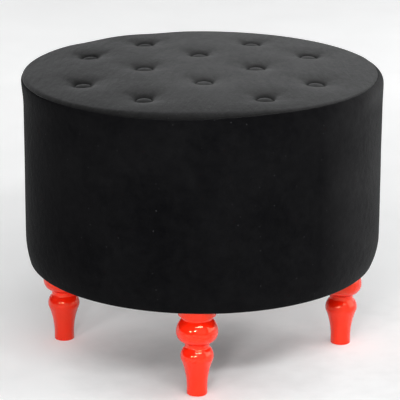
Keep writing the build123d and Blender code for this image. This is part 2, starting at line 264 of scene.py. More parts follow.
@dataclass(frozen=True)
class Velvet:
    """Black cotton velvet: a dark pile that turns grey where it is seen along the surface.

    Its base colour carries painted light and shade as well: lighter towards the right, where more
    light falls, darker towards the front edge and in the tufts' pits, and paler along the side's
    upper right shoulder, a painted highlight. Each stretch runs from no effect to the full one,
    and one that lies past the object's reach leaves its effect out.
    """

    name: str
    deep: Colour
    brushed: Colour
    sheen: float
    sheen_roughness: float
    lie_depth: float
    sheen_tint: Colour = (0.97, 0.985, 1.0)
    stroke_lumps: float = 10.0
    stroke_scale: tuple[float, float, float] = (1.0, 1.0, 1.0)
    mottle_lumps: float = 75.0
    pile_lumps: float = 1400.0
    pile_depth: float = 0.16 * MM
    # Painted light: these four lift the nap's colour towards the right, over a stretch of X.
    right_light_share: float = 0.35
    unlit_nap_gain: float = 0.6
    right_light_nap_gain: float = 0.8
    right_light_between: Span = (0.19, 0.29)
    # Painted shade: the colour darkens towards the front over this stretch of Y.
    front_shade_between: Span = (-1.0, -1.1)
    # Painted shade: how much darker the colour is in the tufts' pits.
    pit_shade: float = 0.8
    # Painted highlight: a paler colour on the side's upper right shoulder, over stretches of X and Z.
    shoulder_highlight: Colour = (0.03, 0.03, 0.0305)
    highlight_across: Span = (0.25, 0.275)
    highlight_above: Span = (1.0, 1.1)
    lint: Colour = (0.02, 0.02, 0.021)
    lint_cells: float = 110.0
    lint_edge: Span = (0.14, 0.09)
    lint_share: Span = (0.72, 0.76)

    def build(self) -> bpy.types.Material:
        """Make the material.

        Returns:
            The finished material.
        """
        tree = ShaderTree(self.name)
        place, drawn = tree.place(), tree.place(self.stroke_scale)
        x, y, z = (tree.axis(place, name) for name in "XYZ")
        strokes = tree.stretch(tree.noise(drawn, self.stroke_lumps, 3, 0.55), 0.34, 0.7)
        mottle = tree.stretch(tree.noise(drawn, self.mottle_lumps, 3, 0.6), 0.3, 0.72)
        pile = tree.noise(place, self.pile_lumps, 2, 0.6)
        # Painted light: 0 at the left, rising to 1 towards the right across a stretch of X.
        side = tree.stretch(x, *self.right_light_between)
        # Painted shade: falls from 1 to 0 towards the front edge.
        raised = 1 - tree.stretch(y, *self.front_shade_between)
        nap_and_light = (1 - self.right_light_share) * (0.45 * strokes + 0.35 * mottle + 0.2 * pile)
        # Painted light: lighter towards the right; painted shade: darker towards the front edge.
        nap_and_light = raised * (nap_and_light * (self.unlit_nap_gain + self.right_light_nap_gain * side) + self.right_light_share * side)
        # Painted shade: darker in the tufts' pits, only where the right side's painted light is.
        nap_and_light = nap_and_light * (1 - self.pit_shade * tree.attribute(PIT_SHADE_SHARE) * side)
        # Painted highlight: paler towards the right, above a given height, on the side's upper shoulder.
        shoulder_highlight = tree.stretch(x, *self.highlight_across) * tree.stretch(z, *self.highlight_above)
        colour = tree.blend(shoulder_highlight, tree.blend(nap_and_light, self.deep, self.brushed), self.shoulder_highlight)
        lie = tree.bump(0.6 * mottle + 0.4 * strokes, self.lie_depth)
        dust = tree.cells(place, self.lint_cells)
        near = tree.stretch(tree.out(dust, "Distance"), *self.lint_edge)
        # The Math node makes one random number of each cell's random colour.
        chosen = tree.stretch(tree.out(dust, "Color") * 1.0, *self.lint_share)
        return tree.finish(
            {
                "Base Color": tree.blend(near * chosen, colour, self.lint),
                "Roughness": 0.86 + 0.12 * pile,
                "Specular IOR Level": 0.05,
                "Sheen Weight": self.sheen,
                "Sheen Roughness": self.sheen_roughness,
                "Sheen Tint": self.sheen_tint,
                "Normal": tree.bump(pile, self.pile_depth, lie),
            }
        )


@dataclass(frozen=True)
class Lacquer:
    """Glossy red lacquer over turned wood, with a trace of grain and lathe rings below."""

    name: str = "red_lacquer"
    colour: Colour = (0.97, 0.02, 0.004)
    shaded: Colour = (0.94, 0.013, 0.002)
    shine_tint: Colour = (1.0, 0.6, 0.25)
    roughness: float = 0.07
    coat_roughness: float = 0.035
    cloud_lumps: float = 32.0
    grain_scale: tuple[float, float, float] = (420.0, 420.0, 16.0)
    ring_scale: tuple[float, float, float] = (3.0, 3.0, 520.0)
    wood_depth: float = 0.008 * MM
    peel_lumps: float = 130.0
    peel_depth: float = 0.07 * MM

    def build(self) -> bpy.types.Material:
        """Make the material.

        Returns:
            The finished material.
        """
        tree = ShaderTree(self.name)
        clouds = tree.stretch(tree.noise(tree.place(), self.cloud_lumps, 3, 0.55), 0.3, 0.75)
        grain = tree.noise(tree.place(self.grain_scale), 1, 3, 0.6)
        rings = tree.noise(tree.place(self.ring_scale), 1, 2, 0.5)
        peel = tree.noise(tree.place(), self.peel_lumps, 2, 0.5)
        under = tree.bump(0.5 * grain + 0.5 * rings, self.wood_depth)
        return tree.finish(
            {
                "Base Color": tree.blend(clouds, self.shaded, self.colour),
                "Roughness": self.roughness + 0.03 * grain,
                "Specular IOR Level": 0.6,
                "Specular Tint": self.shine_tint,
                "Coat Weight": 0.4,
                "Coat Roughness": self.coat_roughness,
                "Normal": tree.bump(peel, self.peel_depth, under),
            }
        )


@dataclass(frozen=True)
class Fibres:
    """Felted or spun fibres: felt, wadding and twine."""

    name: str
    dark: Colour
    light: Colour
    lumps: float = 420.0
    depth: float = 0.4 * MM
    sheen: float = 0.25
    lumps_in_cloud: float = 14.0

    def build(self) -> bpy.types.Material:
        """Make the material.

        Returns:
            The finished material.
        """
        tree = ShaderTree(self.name)
        fibres = tree.noise(tree.place(), self.lumps, 4, 0.65)
        clouds = tree.noise(tree.place(), self.lumps / self.lumps_in_cloud, 2, 0.5)
        return tree.finish(
            {
                "Base Color": tree.blend(0.6 * fibres + 0.4 * clouds, self.dark, self.light),
                "Roughness": 0.9 + 0.08 * fibres,
                "Specular IOR Level": 0.15,
                "Sheen Weight": self.sheen,
                "Sheen Roughness": 0.5,
                "Normal": tree.bump(fibres, self.depth),
            }
        )


@dataclass(frozen=True)
class Weave:
    """Thin plain-woven cloth, its threads along X and Y."""

    name: str
    thread: Colour
    gap: Colour
    pitch: float = 1.6 * MM
    fuzz_lumps: float = 900.0
    depth: float = 0.25 * MM

    def build(self) -> bpy.types.Material:
        """Make the material.

        Returns:
            The finished material.
        """
        tree = ShaderTree(self.name)
        place = tree.place()
        pace = 2 * math.pi / self.pitch
        across = tree.math("SINE", tree.axis(place, "X") * pace, 0.0)
        along = tree.math("SINE", tree.axis(place, "Y") * pace, 0.0)
        cloth = 0.5 + 0.5 * across * along
        fuzz = tree.noise(place, self.fuzz_lumps, 3, 0.6)
        return tree.finish(
            {
                "Base Color": tree.blend(0.6 * cloth + 0.4 * fuzz, self.gap, self.thread),
                "Roughness": 0.8 + 0.15 * fuzz,
                "Specular IOR Level": 0.25,
                "Normal": tree.bump(0.7 * cloth + 0.3 * fuzz, self.depth),
            }
        )


@dataclass(frozen=True)
class Timber:
    """Bare wood or board, with grain along one axis and, in plywood, its glued layers."""

    name: str
    early: Colour
    late: Colour
    grain: tuple[float, float, float]
    ply: float = 0.0
    pores_in_band: float = 4.0
    depth: float = 0.15 * MM

    def build(self) -> bpy.types.Material:
        """Make the material.

        Returns:
            The finished material.
        """
        tree = ShaderTree(self.name)
        bands = tree.stretch(tree.noise(tree.place(self.grain), 1, 4, 0.62), 0.3, 0.72)
        pores = tree.noise(tree.place([self.pores_in_band * axis for axis in self.grain]), 1, 2, 0.5)
        tone = bands
        if self.ply:
            wave = tree.math("SINE", tree.axis(tree.place(), "Z") * (math.pi / self.ply), 0.0)
            tone = 0.7 * bands + 0.3 * tree.stretch(wave, -0.2, 0.2)
        return tree.finish(
            {
                "Base Color": tree.blend(tone, self.early, self.late),
                "Roughness": 0.62 + 0.2 * pores,
                "Normal": tree.bump(0.5 * bands + 0.5 * pores, self.depth),
            }
        )


@dataclass(frozen=True)
class Foam:
    """Open-cell upholstery foam."""

    name: str = "upholstery_foam"
    dark: Colour = (0.52, 0.42, 0.2)
    light: Colour = (0.78, 0.68, 0.38)
    cells: float = 700.0
    cloud_lumps: float = 30.0
    depth: float = 0.5 * MM

    def build(self) -> bpy.types.Material:
        """Make the material.

        Returns:
            The finished material.
        """
        tree = ShaderTree(self.name)
        cells = tree.out(tree.cells(tree.place(), self.cells), "Distance")
        clouds = tree.noise(tree.place(), self.cloud_lumps, 2, 0.5)
        return tree.finish(
            {
                "Base Color": tree.blend(0.7 * cells + 0.3 * clouds, self.dark, self.light),
                "Roughness": 0.95 - 0.1 * cells,
                "Normal": tree.bump(cells, self.depth),
            }
        )


@dataclass(frozen=True)
class Plated:
    """Bright zinc on small steel fixings."""

    name: str = "zinc_plate"
    dull: Colour = (0.5, 0.51, 0.52)
    bright: Colour = (0.78, 0.79, 0.8)
    cloud_lumps: float = 300.0
    depth: float = 0.05 * MM

    def build(self) -> bpy.types.Material:
        """Make the material.

        Returns:
            The finished material.
        """
        tree = ShaderTree(self.name)
        cloud = tree.noise(tree.place(), self.cloud_lumps, 3, 0.6)
        return tree.finish(
            {
                "Base Color": tree.blend(cloud, self.dull, self.bright),
                "Metallic": 1.0,
                "Roughness": 0.28 + 0.2 * cloud,
                "Normal": tree.bump(cloud, self.depth),
            }
        )


@dataclass
class Waves:
    """Smooth seeded unevenness, the sum of a few long waves."""

    seed: int
    height: float
    length: float
    count: int = 14
    parts: np.ndarray = field(init=False)

    def __post_init__(self) -> None:
        """Draw the waves."""
        rng = np.random.default_rng(self.seed)
        turn = rng.uniform(0, 2 * math.pi, self.count)
        pace = 2 * math.pi / (self.length * rng.uniform(0.6, 1.6, self.count))
        start = rng.uniform(0, 2 * math.pi, self.count)
        self.parts = np.stack([pace * np.cos(turn), pace * np.sin(turn), start], axis=1)

    def at(self, across: np.ndarray, along: np.ndarray) -> np.ndarray:
        """Height at points.

        Args:
            across: First coordinate.
            along: Second coordinate.

        Returns:
            Heights, one for each point.
        """
        total = np.zeros(np.shape(across))
        for first, second, start in self.parts:
            total = total + np.sin(first * across + second * along + start)
        return total * self.height / math.sqrt(self.count / 2)


def disc_grid(cells: int) -> tuple[np.ndarray, np.ndarray, list[Face]]:
    """Even square grid pressed into a disc of radius 1, in square rings that become round.

    Args:
        cells: Cells along one side, an even number.

    Returns:
        Distances from the centre, angles, and the faces, which point up.
    """
    steps = np.linspace(-1, 1, cells + 1)
    u, v = np.meshgrid(steps, steps, indexing="ij")
    wide = np.abs(u) >= np.abs(v)
    safe_u = np.where(u == 0, 1, u)
    safe_v = np.where(v == 0, 1, v)
    reach = np.where(wide, u, v)
    angle = np.where(wide, math.pi / 4 * v / safe_u, math.pi / 2 - math.pi / 4 * u / safe_v)
    x, y = reach * np.cos(angle), reach * np.sin(angle)
    side = cells + 1
    faces = [
        (i * side + j, (i + 1) * side + j, (i + 1) * side + j + 1, i * side + j + 1)
        for i in range(cells)
        for j in range(cells)
    ]
    return np.hypot(x, y).ravel(), np.arctan2(y, x).ravel(), faces


def disc_rim(cells: int) -> list[int]:
    """Point numbers round the edge of a disc grid, anticlockwise.

    Args:
        cells: Cells along one side of the grid.

    Returns:
        The numbers, in order.
    """
    side = cells + 1
    south = [i * side for i in range(cells)]
    east = [cells * side + j for j in range(cells)]
    north = [i * side + cells for i in range(cells, 0, -1)]
    west = list(range(cells, 0, -1))
    return [*south, *east, *north, *west]


def ring_faces(rows: int, around: int, closed: bool = False) -> list[Face]:
    """Faces between rings of points that follow each other.

    Args:
        rows: How many rings there are.
        around: Points in each ring.
        closed: Whether the last ring joins the first one.

    Returns:
        The faces, which point outwards where the rings go up.
    """
    faces = []
    for row in range(rows if closed else rows - 1):
        low, high = row * around, (row + 1) % rows * around
        for i in range(around):
            j = (i + 1) % around
            faces.append((low + i, low + j, high + j, high + i))
    return faces


def new_piece(
    name: str, points: np.ndarray, faces: Sequence[Face], material: bpy.types.Material
) -> bpy.types.Object:
    """Smooth-shaded mesh object at the origin.

    Args:
        name: The piece's name.
        points: Its points, one row each.
        faces: Point numbers of each face, turned outwards.
        material: Its finish.

    Returns:
        The new object.
    """
    mesh = bpy.data.meshes.new(name)
    mesh.from_pydata(points.tolist(), [], faces)
    mesh.materials.append(material)
    mesh.shade_smooth()
    piece = bpy.data.objects.new(name, mesh)
    bpy.context.scene.collection.objects.link(piece)
    return piece


def on_circle(r: np.ndarray, turn: np.ndarray, z: np.ndarray) -> np.ndarray:
    """Points from their distance to the axis, angle and height."""
    return np.column_stack([r * np.cos(turn), r * np.sin(turn), z + 0 * turn])


def lathe(profile: Sequence[tuple[float, float]], around: int) -> tuple[np.ndarray, list[Face]]:
    """Turn a half outline about the Z axis.

    Args:
        profile: Radius and height of each point, from the bottom on the axis to the top on it.
        around: Points in each ring.

    Returns:
        Points and faces of the closed form.
    """
    turn = np.linspace(0, 2 * math.pi, around, endpoint=False)
    rings = [on_circle(r, turn, z) for r, z in profile[1:-1]]
    points = np.concatenate([*rings, [[0, 0, profile[0][1]], [0, 0, profile[-1][1]]]])
    faces = ring_faces(len(rings), around)
    bottom, top = len(points) - 2, len(points) - 1
    last = (len(rings) - 1) * around
    faces += [(bottom, (i + 1) % around, i) for i in range(around)]
    faces += [(top, last + i, last + (i + 1) % around) for i in range(around)]
    return points, faces


def scatter_tree(name: str) -> bpy.types.NodeTree:
    """Geometry nodes that set one shape on every point, stood along each point's own directions.

    Args:
        name: The tree's name.

    Returns:
        A tree with the inputs Shape, Size and Finish, that reads the attributes up and along.
    """
    tree = bpy.data.node_groups.new(name, "GeometryNodeTree")
    face = tree.interface
    inputs = {"Geometry": "Geometry", "Shape": "Object", "Size": "Float", "Finish": "Material"}
    for label, kind in inputs.items():
        face.new_socket(label, in_out="INPUT", socket_type="NodeSocket" + kind)
    face.new_socket("Geometry", in_out="OUTPUT", socket_type="NodeSocketGeometry")
    nodes, links = tree.nodes, tree.links
    given, result = nodes.new("NodeGroupInput"), nodes.new("NodeGroupOutput")
    shape = nodes.new("GeometryNodeObjectInfo")
    spread = nodes.new("GeometryNodeInstanceOnPoints")
    real, dressed = nodes.new("GeometryNodeRealizeInstances"), nodes.new("GeometryNodeSetMaterial")
    turn = None
    for axis, attribute in (("Z", "up"), ("X", "along")):
        read = nodes.new("GeometryNodeInputNamedAttribute")
        read.data_type = "FLOAT_VECTOR"
        read.inputs["Name"].default_value = attribute
        align = nodes.new("FunctionNodeAlignRotationToVector")
        align.axis = axis
        align.pivot_axis = "AUTO" if turn is None else "Z"
        links.new(read.outputs["Attribute"], align.inputs["Vector"])
        if turn is not None:
            links.new(turn, align.inputs["Rotation"])
        turn = align.outputs["Rotation"]
    links.new(given.outputs["Shape"], shape.inputs["Object"])
    links.new(given.outputs["Geometry"], spread.inputs["Points"])
    links.new(shape.outputs["Geometry"], spread.inputs["Instance"])
    links.new(turn, spread.inputs["Rotation"])
    links.new(given.outputs["Size"], spread.inputs["Scale"])
    links.new(spread.outputs["Instances"], real.inputs["Geometry"])
    links.new(real.outputs["Geometry"], dressed.inputs["Geometry"])
    links.new(given.outputs["Finish"], dressed.inputs["Material"])
    links.new(dressed.outputs["Geometry"], result.inputs["Geometry"])
    return tree


def scatter(
    shape: bpy.types.Object,
    name: str,
    points: np.ndarray,
    up: np.ndarray,
    along: np.ndarray,
    material: bpy.types.Material,
) -> bpy.types.Object:
    """One plain mesh of a shape repeated on points; the shape itself is used up.

    Args:
        shape: What is repeated, made about the origin.
        name: The new piece's name.
        points: Where each copy stands.
        up: Direction of each copy's Z axis.
        along: Direction of each copy's X axis.
        material: The finish.

    Returns:
        The new object.
    """
    mesh = bpy.data.meshes.new(name)
    mesh.from_pydata(points.tolist(), [], [])
    for key, rows in (("up", up), ("along", along)):
        layer = mesh.attributes.new(key, "FLOAT_VECTOR", "POINT")
        layer.data.foreach_set("vector", np.asarray(rows, float).ravel())
    carrier = bpy.data.objects.new(name + "_points", mesh)
    bpy.context.scene.collection.objects.link(carrier)
    tree = scatter_tree(name + "_nodes")
    modifier = carrier.modifiers.new("spread", "NODES")
    modifier.node_group = tree
    values = {"Shape": shape, "Size": 1.0, "Finish": material}
    for item in tree.interface.items_tree:
        if item.in_out == "INPUT" and item.name in values:
            modifier[item.identifier] = values[item.name]
    graph = bpy.context.evaluated_depsgraph_get()
    made = bpy.data.meshes.new_from_object(carrier.evaluated_get(graph))
    piece = bpy.data.objects.new(name, made)
    bpy.context.scene.collection.objects.link(piece)
    for spent in (carrier, shape):
        bpy.data.objects.remove(spent)
    bpy.data.node_groups.remove(tree)
    made.shade_smooth()
    return piece


def thicken(piece: bpy.types.Object, thickness: float, levels: int = 0) -> None:
    """Give a cloth its thickness on the inside, and smooth it.

    Args:
        piece: The sheet, its faces turned outwards.
        thickness: How thick the cloth is.
        levels: Subdivisions after that.
    """
    wall = piece.modifiers.new("cloth", "SOLIDIFY")
    wall.thickness = thickness
    wall.offset = -1
    if levels:
        smooth = piece.modifiers.new("smooth", "SUBSURF")
        smooth.levels = smooth.render_levels = levels


def hang_on(piece: bpy.types.Object, slot: str, *nodes: str) -> None:
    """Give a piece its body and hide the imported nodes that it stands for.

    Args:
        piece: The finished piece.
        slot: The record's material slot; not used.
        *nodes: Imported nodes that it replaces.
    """
    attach(piece, BODY)
    if nodes:
        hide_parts(*nodes)
    log.info("%s: %d points", piece.name, len(piece.data.vertices))


@dataclass
class RolledEdge:
    """The seat's rolled edge at some angles round it: its radius, centre and start."""

    roll: np.ndarray
    centre: np.ndarray
    height: np.ndarray
    join_angle: np.ndarray
    join: np.ndarray

    def at(self, angle: np.ndarray, depth: np.ndarray) -> tuple[np.ndarray, np.ndarray]:
        """Radius and height at an angle up the roll and a depth below its face."""
        reach = self.roll - depth
        return self.centre + reach * np.cos(angle), self.height + reach * np.sin(angle)


@dataclass
class SeatForm:
    """The crowned seat: dome, rolled edge, sewn seam and pulled-in tufts."""

    body_radius: float
    crown_top: float
    crown_height: float = 8.5 * MM
    edge_roll: float = 11.5 * MM
    roll_change: float = 2.0 * MM
    front_roll: float = 28.0 * MM
    front_lean: float = 0.1
    front_sharpness: int = 6
    edge_swell: float = 1.6 * MM
    swell_change: float = 0.45
    seam_low: float = 0.4
    seam_lift: float = 0.9
    seam_lean: float = 0.36
    seam_front: float = 0.53
    seam_waver: float = 0.02
    seam_groove: float = 1.2 * MM
    seam_spread: float = 4.5 * MM
    seam_tuck: float = 3.0 * MM
    tuck_angle: float = 0.03
    front_taut: float = 0.85
    tuft_pitch: float = 90.2 * MM
    tuft_turn: float = math.radians(3.15)
    tuft_shift: Span = (-3.9 * MM, 2.3 * MM)
    button_radius: float = 12.7 * MM
    gather_share: float = 0.5
    gather_margin: float = 2.5 * MM
    gather_width: float = 13 * MM
    pit_depth: float = 6.2 * MM
    pit_width: float = 5.6 * MM
    pit_power: float = 1.2
    bowl_depth: float = 5.6 * MM
    bowl_width: float = 26 * MM
    fold_depth: float = 4.4 * MM
    fold_even: float = 0.5
    fold_rear: float = 0.6
    fold_width: float = 5.6 * MM
    fold_spread: float = 1.6
    fold_reach: float = 46 * MM
    edge_dips: tuple[Span, ...] = ((2.35, 2.4 * MM), (1.9, 1.9 * MM), (0.35, -1.4 * MM))
    dip_width: float = 0.12
    dome_steps: int = 90
    roll_steps: int = 14
    relief: Waves = field(default_factory=lambda: Waves(4, 0.35 * MM, 110 * MM))

    def __post_init__(self) -> None:
        """Work out the crown's sphere."""
        edge_centre = self.body_radius - self.edge_roll
        reach = (edge_centre**2 + self.crown_height**2) / (2 * self.crown_height)
        self.crown_radius = reach + self.edge_roll
        self.crown_centre = self.crown_top - self.crown_radius

    @property
    def tuft_depth(self) -> float:
        """How deep each button sits under the crown."""
        return self.pit_depth + self.bowl_depth

    @property
    def fullest_roll(self) -> float:
        """Radius of the rolled edge where it is fullest, at the front."""
        return self.edge_roll + self.front_roll

    def tufts(self) -> np.ndarray:
        """Places of the buttons, on every other point of a turned square grid.

        Returns:
            The places, one row each.
        """
        nudges = {(-2, -1): -6.0 * MM, (0, -1): 4.0 * MM, (1, -2): 5.5 * MM}
        spots = [
            (column * self.tuft_pitch + nudges.get((column, row), 0), row * self.tuft_pitch)
            for column in range(-2, 3)
            for row in range(-2, 3)
            if (column + row) % 2
        ]
        c, s = math.cos(self.tuft_turn), math.sin(self.tuft_turn)
        turned = np.array([(c * x - s * y, s * x + c * y) for x, y in spots])
        return turned + np.array(self.tuft_shift)

    def up_at(self, spots: np.ndarray) -> np.ndarray:
        """Direction square to the crown at places on it."""
        rise = np.sqrt(self.crown_radius**2 - (spots**2).sum(axis=1))
        return np.column_stack([spots, rise]) / self.crown_radius

    def crown(self, r: np.ndarray) -> np.ndarray:
        """Height of the untufted crown at distances from the axis."""
        return self.crown_centre + np.sqrt(self.crown_radius**2 - r**2)

    def swell(self, turn: np.ndarray) -> np.ndarray:
        """How far the padded edge stands proud of the side, most at the left."""
        return self.edge_swell * (1 - self.swell_change * np.cos(turn))

    def edge(self, turn: np.ndarray) -> RolledEdge:
        """The rolled edge at angles round the seat: tight at the left, full at the front.

        Args:
            turn: The angles.

        Returns:
            The edge at each of them.
        """
        front = np.maximum(-np.sin(turn - self.front_lean), 0) ** self.front_sharpness
        roll = self.edge_roll + self.roll_change * np.cos(turn)
        roll = roll + self.front_roll * front
        centre = self.body_radius + self.swell(turn) - roll
        distance = self.crown_radius - roll
        height = self.crown_centre + np.sqrt(distance**2 - centre**2)
        join = centre * self.crown_radius / distance
        return RolledEdge(roll, centre, height, np.arccos(centre / distance), join)

    def sag(self, turn: np.ndarray) -> np.ndarray:
        """How far the outer buttons draw the edge down, at angles round the seat.

        Args:
            turn: The angles.

        Returns:
            Depths, one for each.
        """
        dips = [
            depth * np.exp(-(((turn - angle) / self.dip_width) ** 2)) for angle, depth in self.edge_dips
        ]
        return np.sum(dips, axis=0)

    def seam_angle(self, turn: np.ndarray) -> np.ndarray:
        """How far up the rolled edge the seam lies: low at the left, high at the right.

        Args:
            turn: Angles round the seat.

        Returns:
            Angles up the roll, one for each.
        """
        right = np.maximum(np.cos(turn + self.seam_lean), 0) ** 1.5
        front = self.seam_front * np.maximum(-np.sin(turn), 0) ** 2
        lifted = 1 - (1 - right) * (1 - front)
        return self.seam_low + self.seam_lift * lifted + self.seam_waver * np.sin(5 * turn + 1)

    def seam_pull(self, away: np.ndarray, turn: np.ndarray) -> np.ndarray:
        """How far the seam draws the cloth in, at distances from it.

        Args:
            away: The distances.
            turn: Angles round the seat.

        Returns:
            Depths, one for each.
        """
        pucker = 1 + 0.16 * np.sin(67 * turn + 2 * np.sin(5 * turn)) + 0.12 * np.sin(101 * turn)
        near = np.clip(1 - away / self.seam_spread, 0, 1)
        taut = 1 - self.front_taut * np.maximum(-np.sin(turn + self.seam_lean), 0) ** 4
        return self.seam_groove * taut * pucker * near**2

    def gather(self, x: np.ndarray, y: np.ndarray) -> tuple[np.ndarray, np.ndarray]:
        """Draw the points of a grid together round each button, where the cloth bends most.

        Args:
            x: First coordinate of the points.
            y: Second coordinate of the points.

        Returns:
            Both coordinates, moved.
        """
        moved_x, moved_y = x.copy(), y.copy()
        ring = self.button_radius + self.gather_margin
        for spot in self.tufts():
            dx, dy = x - spot[0], y - spot[1]
            away = np.hypot(dx, dy)
            near = np.exp(-(((away - ring) / self.gather_width) ** 2))
            pull = self.gather_share * near * (ring - away)
            moved_x += pull * dx / np.maximum(away, ring)
            moved_y += pull * dy / np.maximum(away, ring)
        return moved_x, moved_y

    def sink(self, x: np.ndarray, y: np.ndarray) -> np.ndarray:
        """How far the buttons pull the cloth down.

        Args:
            x: First coordinate of the points.
            y: Second coordinate of the points.

        Returns:
            Depths under the crown.
        """
        depth = np.zeros(np.shape(x))
        diagonals = self.tuft_turn + math.pi / 4 + np.arange(4) * math.pi / 2
        for spot in self.tufts():
            dx, dy = x - spot[0], y - spot[1]
            away = np.hypot(dx, dy)
            wall = np.clip(1 - (away - self.button_radius) / self.pit_width, 0, 1)
            depth = depth + self.pit_depth * wall**self.pit_power
            depth = depth + self.bowl_depth * np.exp(-((away / self.bowl_width) ** 2))
            for angle in diagonals:
                ahead = dx * math.cos(angle) + dy * math.sin(angle)
                aside = -dx * math.sin(angle) + dy * math.cos(angle)
                run = np.clip((ahead - 0.5 * self.button_radius) / self.fold_reach, 0, 1)
                width = self.fold_width * (1 + self.fold_spread * run)
                crease = np.exp(-((aside / width) ** 2)) * (1 - run) ** 1.5
                start = np.clip(ahead / self.button_radius - 0.3, 0, 1)
                pulled = self.fold_depth * (self.fold_even + self.fold_rear * math.sin(angle))
                depth = depth + pulled * crease * start
        return depth

    def tucked(self, x: np.ndarray, y: np.ndarray) -> np.ndarray:
        """Share of the way into the nearest pit, 1 at the button; it sets the velvet's painted shade in
        the pits.
        """
        away = np.min([np.hypot(x - spot[0], y - spot[1]) for spot in self.tufts()], axis=0)
        return np.clip(1 - (away - self.button_radius) / (2 * self.pit_width), 0, 1)

    def layer_outline(self, inset: float, roll: float, bottom: float) -> np.ndarray:
        """Half outline of a layer of padding under the velvet's face.

        Args:
            inset: How deep under the velvet's face it lies.
            roll: Radius of its rounded edge.
            bottom: Height of its lower edge.

        Returns:
            Radius and height of points from the middle of the crown down the side.
        """
        roll_centre = self.body_radius - inset - roll
        distance = self.crown_radius - inset - roll
        start = math.acos(roll_centre / distance)
        roll_height = self.crown_centre + math.sqrt(distance**2 - roll_centre**2)
        polar = np.linspace(0, math.pi / 2 - start, self.dome_steps)
        dome = self.crown_radius - inset
        crown = np.column_stack([dome * np.sin(polar), self.crown_centre + dome * np.cos(polar)])
        angle = np.linspace(start, 0, self.roll_steps)[1:]
        edge = np.column_stack(
            [roll_centre + roll * np.cos(angle), roll_height + roll * np.sin(angle)]
        )
        return np.concatenate([crown, edge, [[self.body_radius - inset, bottom]]])


@dataclass(frozen=True)
class Twine:
    """Two-ply tufting twine, knotted at its lower end."""

    start: float = 17 * MM
    steps: int = 46
    sides: int = 6
    twist: float = 9 * MM
    ply_offset: float = 0.7 * MM
    ply_radius: float = 0.75 * MM
    knot_length: float = 7 * MM
    knot_swell: float = 1.2 * MM

    def strand(self, low: np.ndarray, top: np.ndarray, axis: np.ndarray, ply: float) -> np.ndarray:
        """Points of one twisted ply, fuller where it is knotted.

        Args:
            low: Its lower end.
            top: Its upper end.
            axis: Direction from the one to the other.
            ply: Angle at which it starts.

        Returns:
            Rings of points that follow each other upwards.
        """
        height = np.linspace(0, np.linalg.norm(top - low), self.steps)
        side = np.cross(axis, (0.0, 1.0, 0.0))
        side /= np.linalg.norm(side)
        other = np.cross(axis, side)
        knot = np.clip((self.knot_length - height) / (2 * MM), 0, 1) * np.clip(height / MM + 0.3, 0, 1)
        turn = 2 * math.pi * height / self.twist + ply
        wide = self.ply_offset + self.knot_swell * knot
        centre = low + height[:, None] * axis
        centre = centre + (wide * np.cos(turn))[:, None] * side + (wide * np.sin(turn))[:, None] * other
        around = np.arange(self.sides) * 2 * math.pi / self.sides
        ring = np.cos(around)[:, None] * side + np.sin(around)[:, None] * other
        thick = self.ply_radius + self.knot_swell * knot
        return (centre[:, None, :] + thick[:, None, None] * ring[None]).reshape(-1, 3)


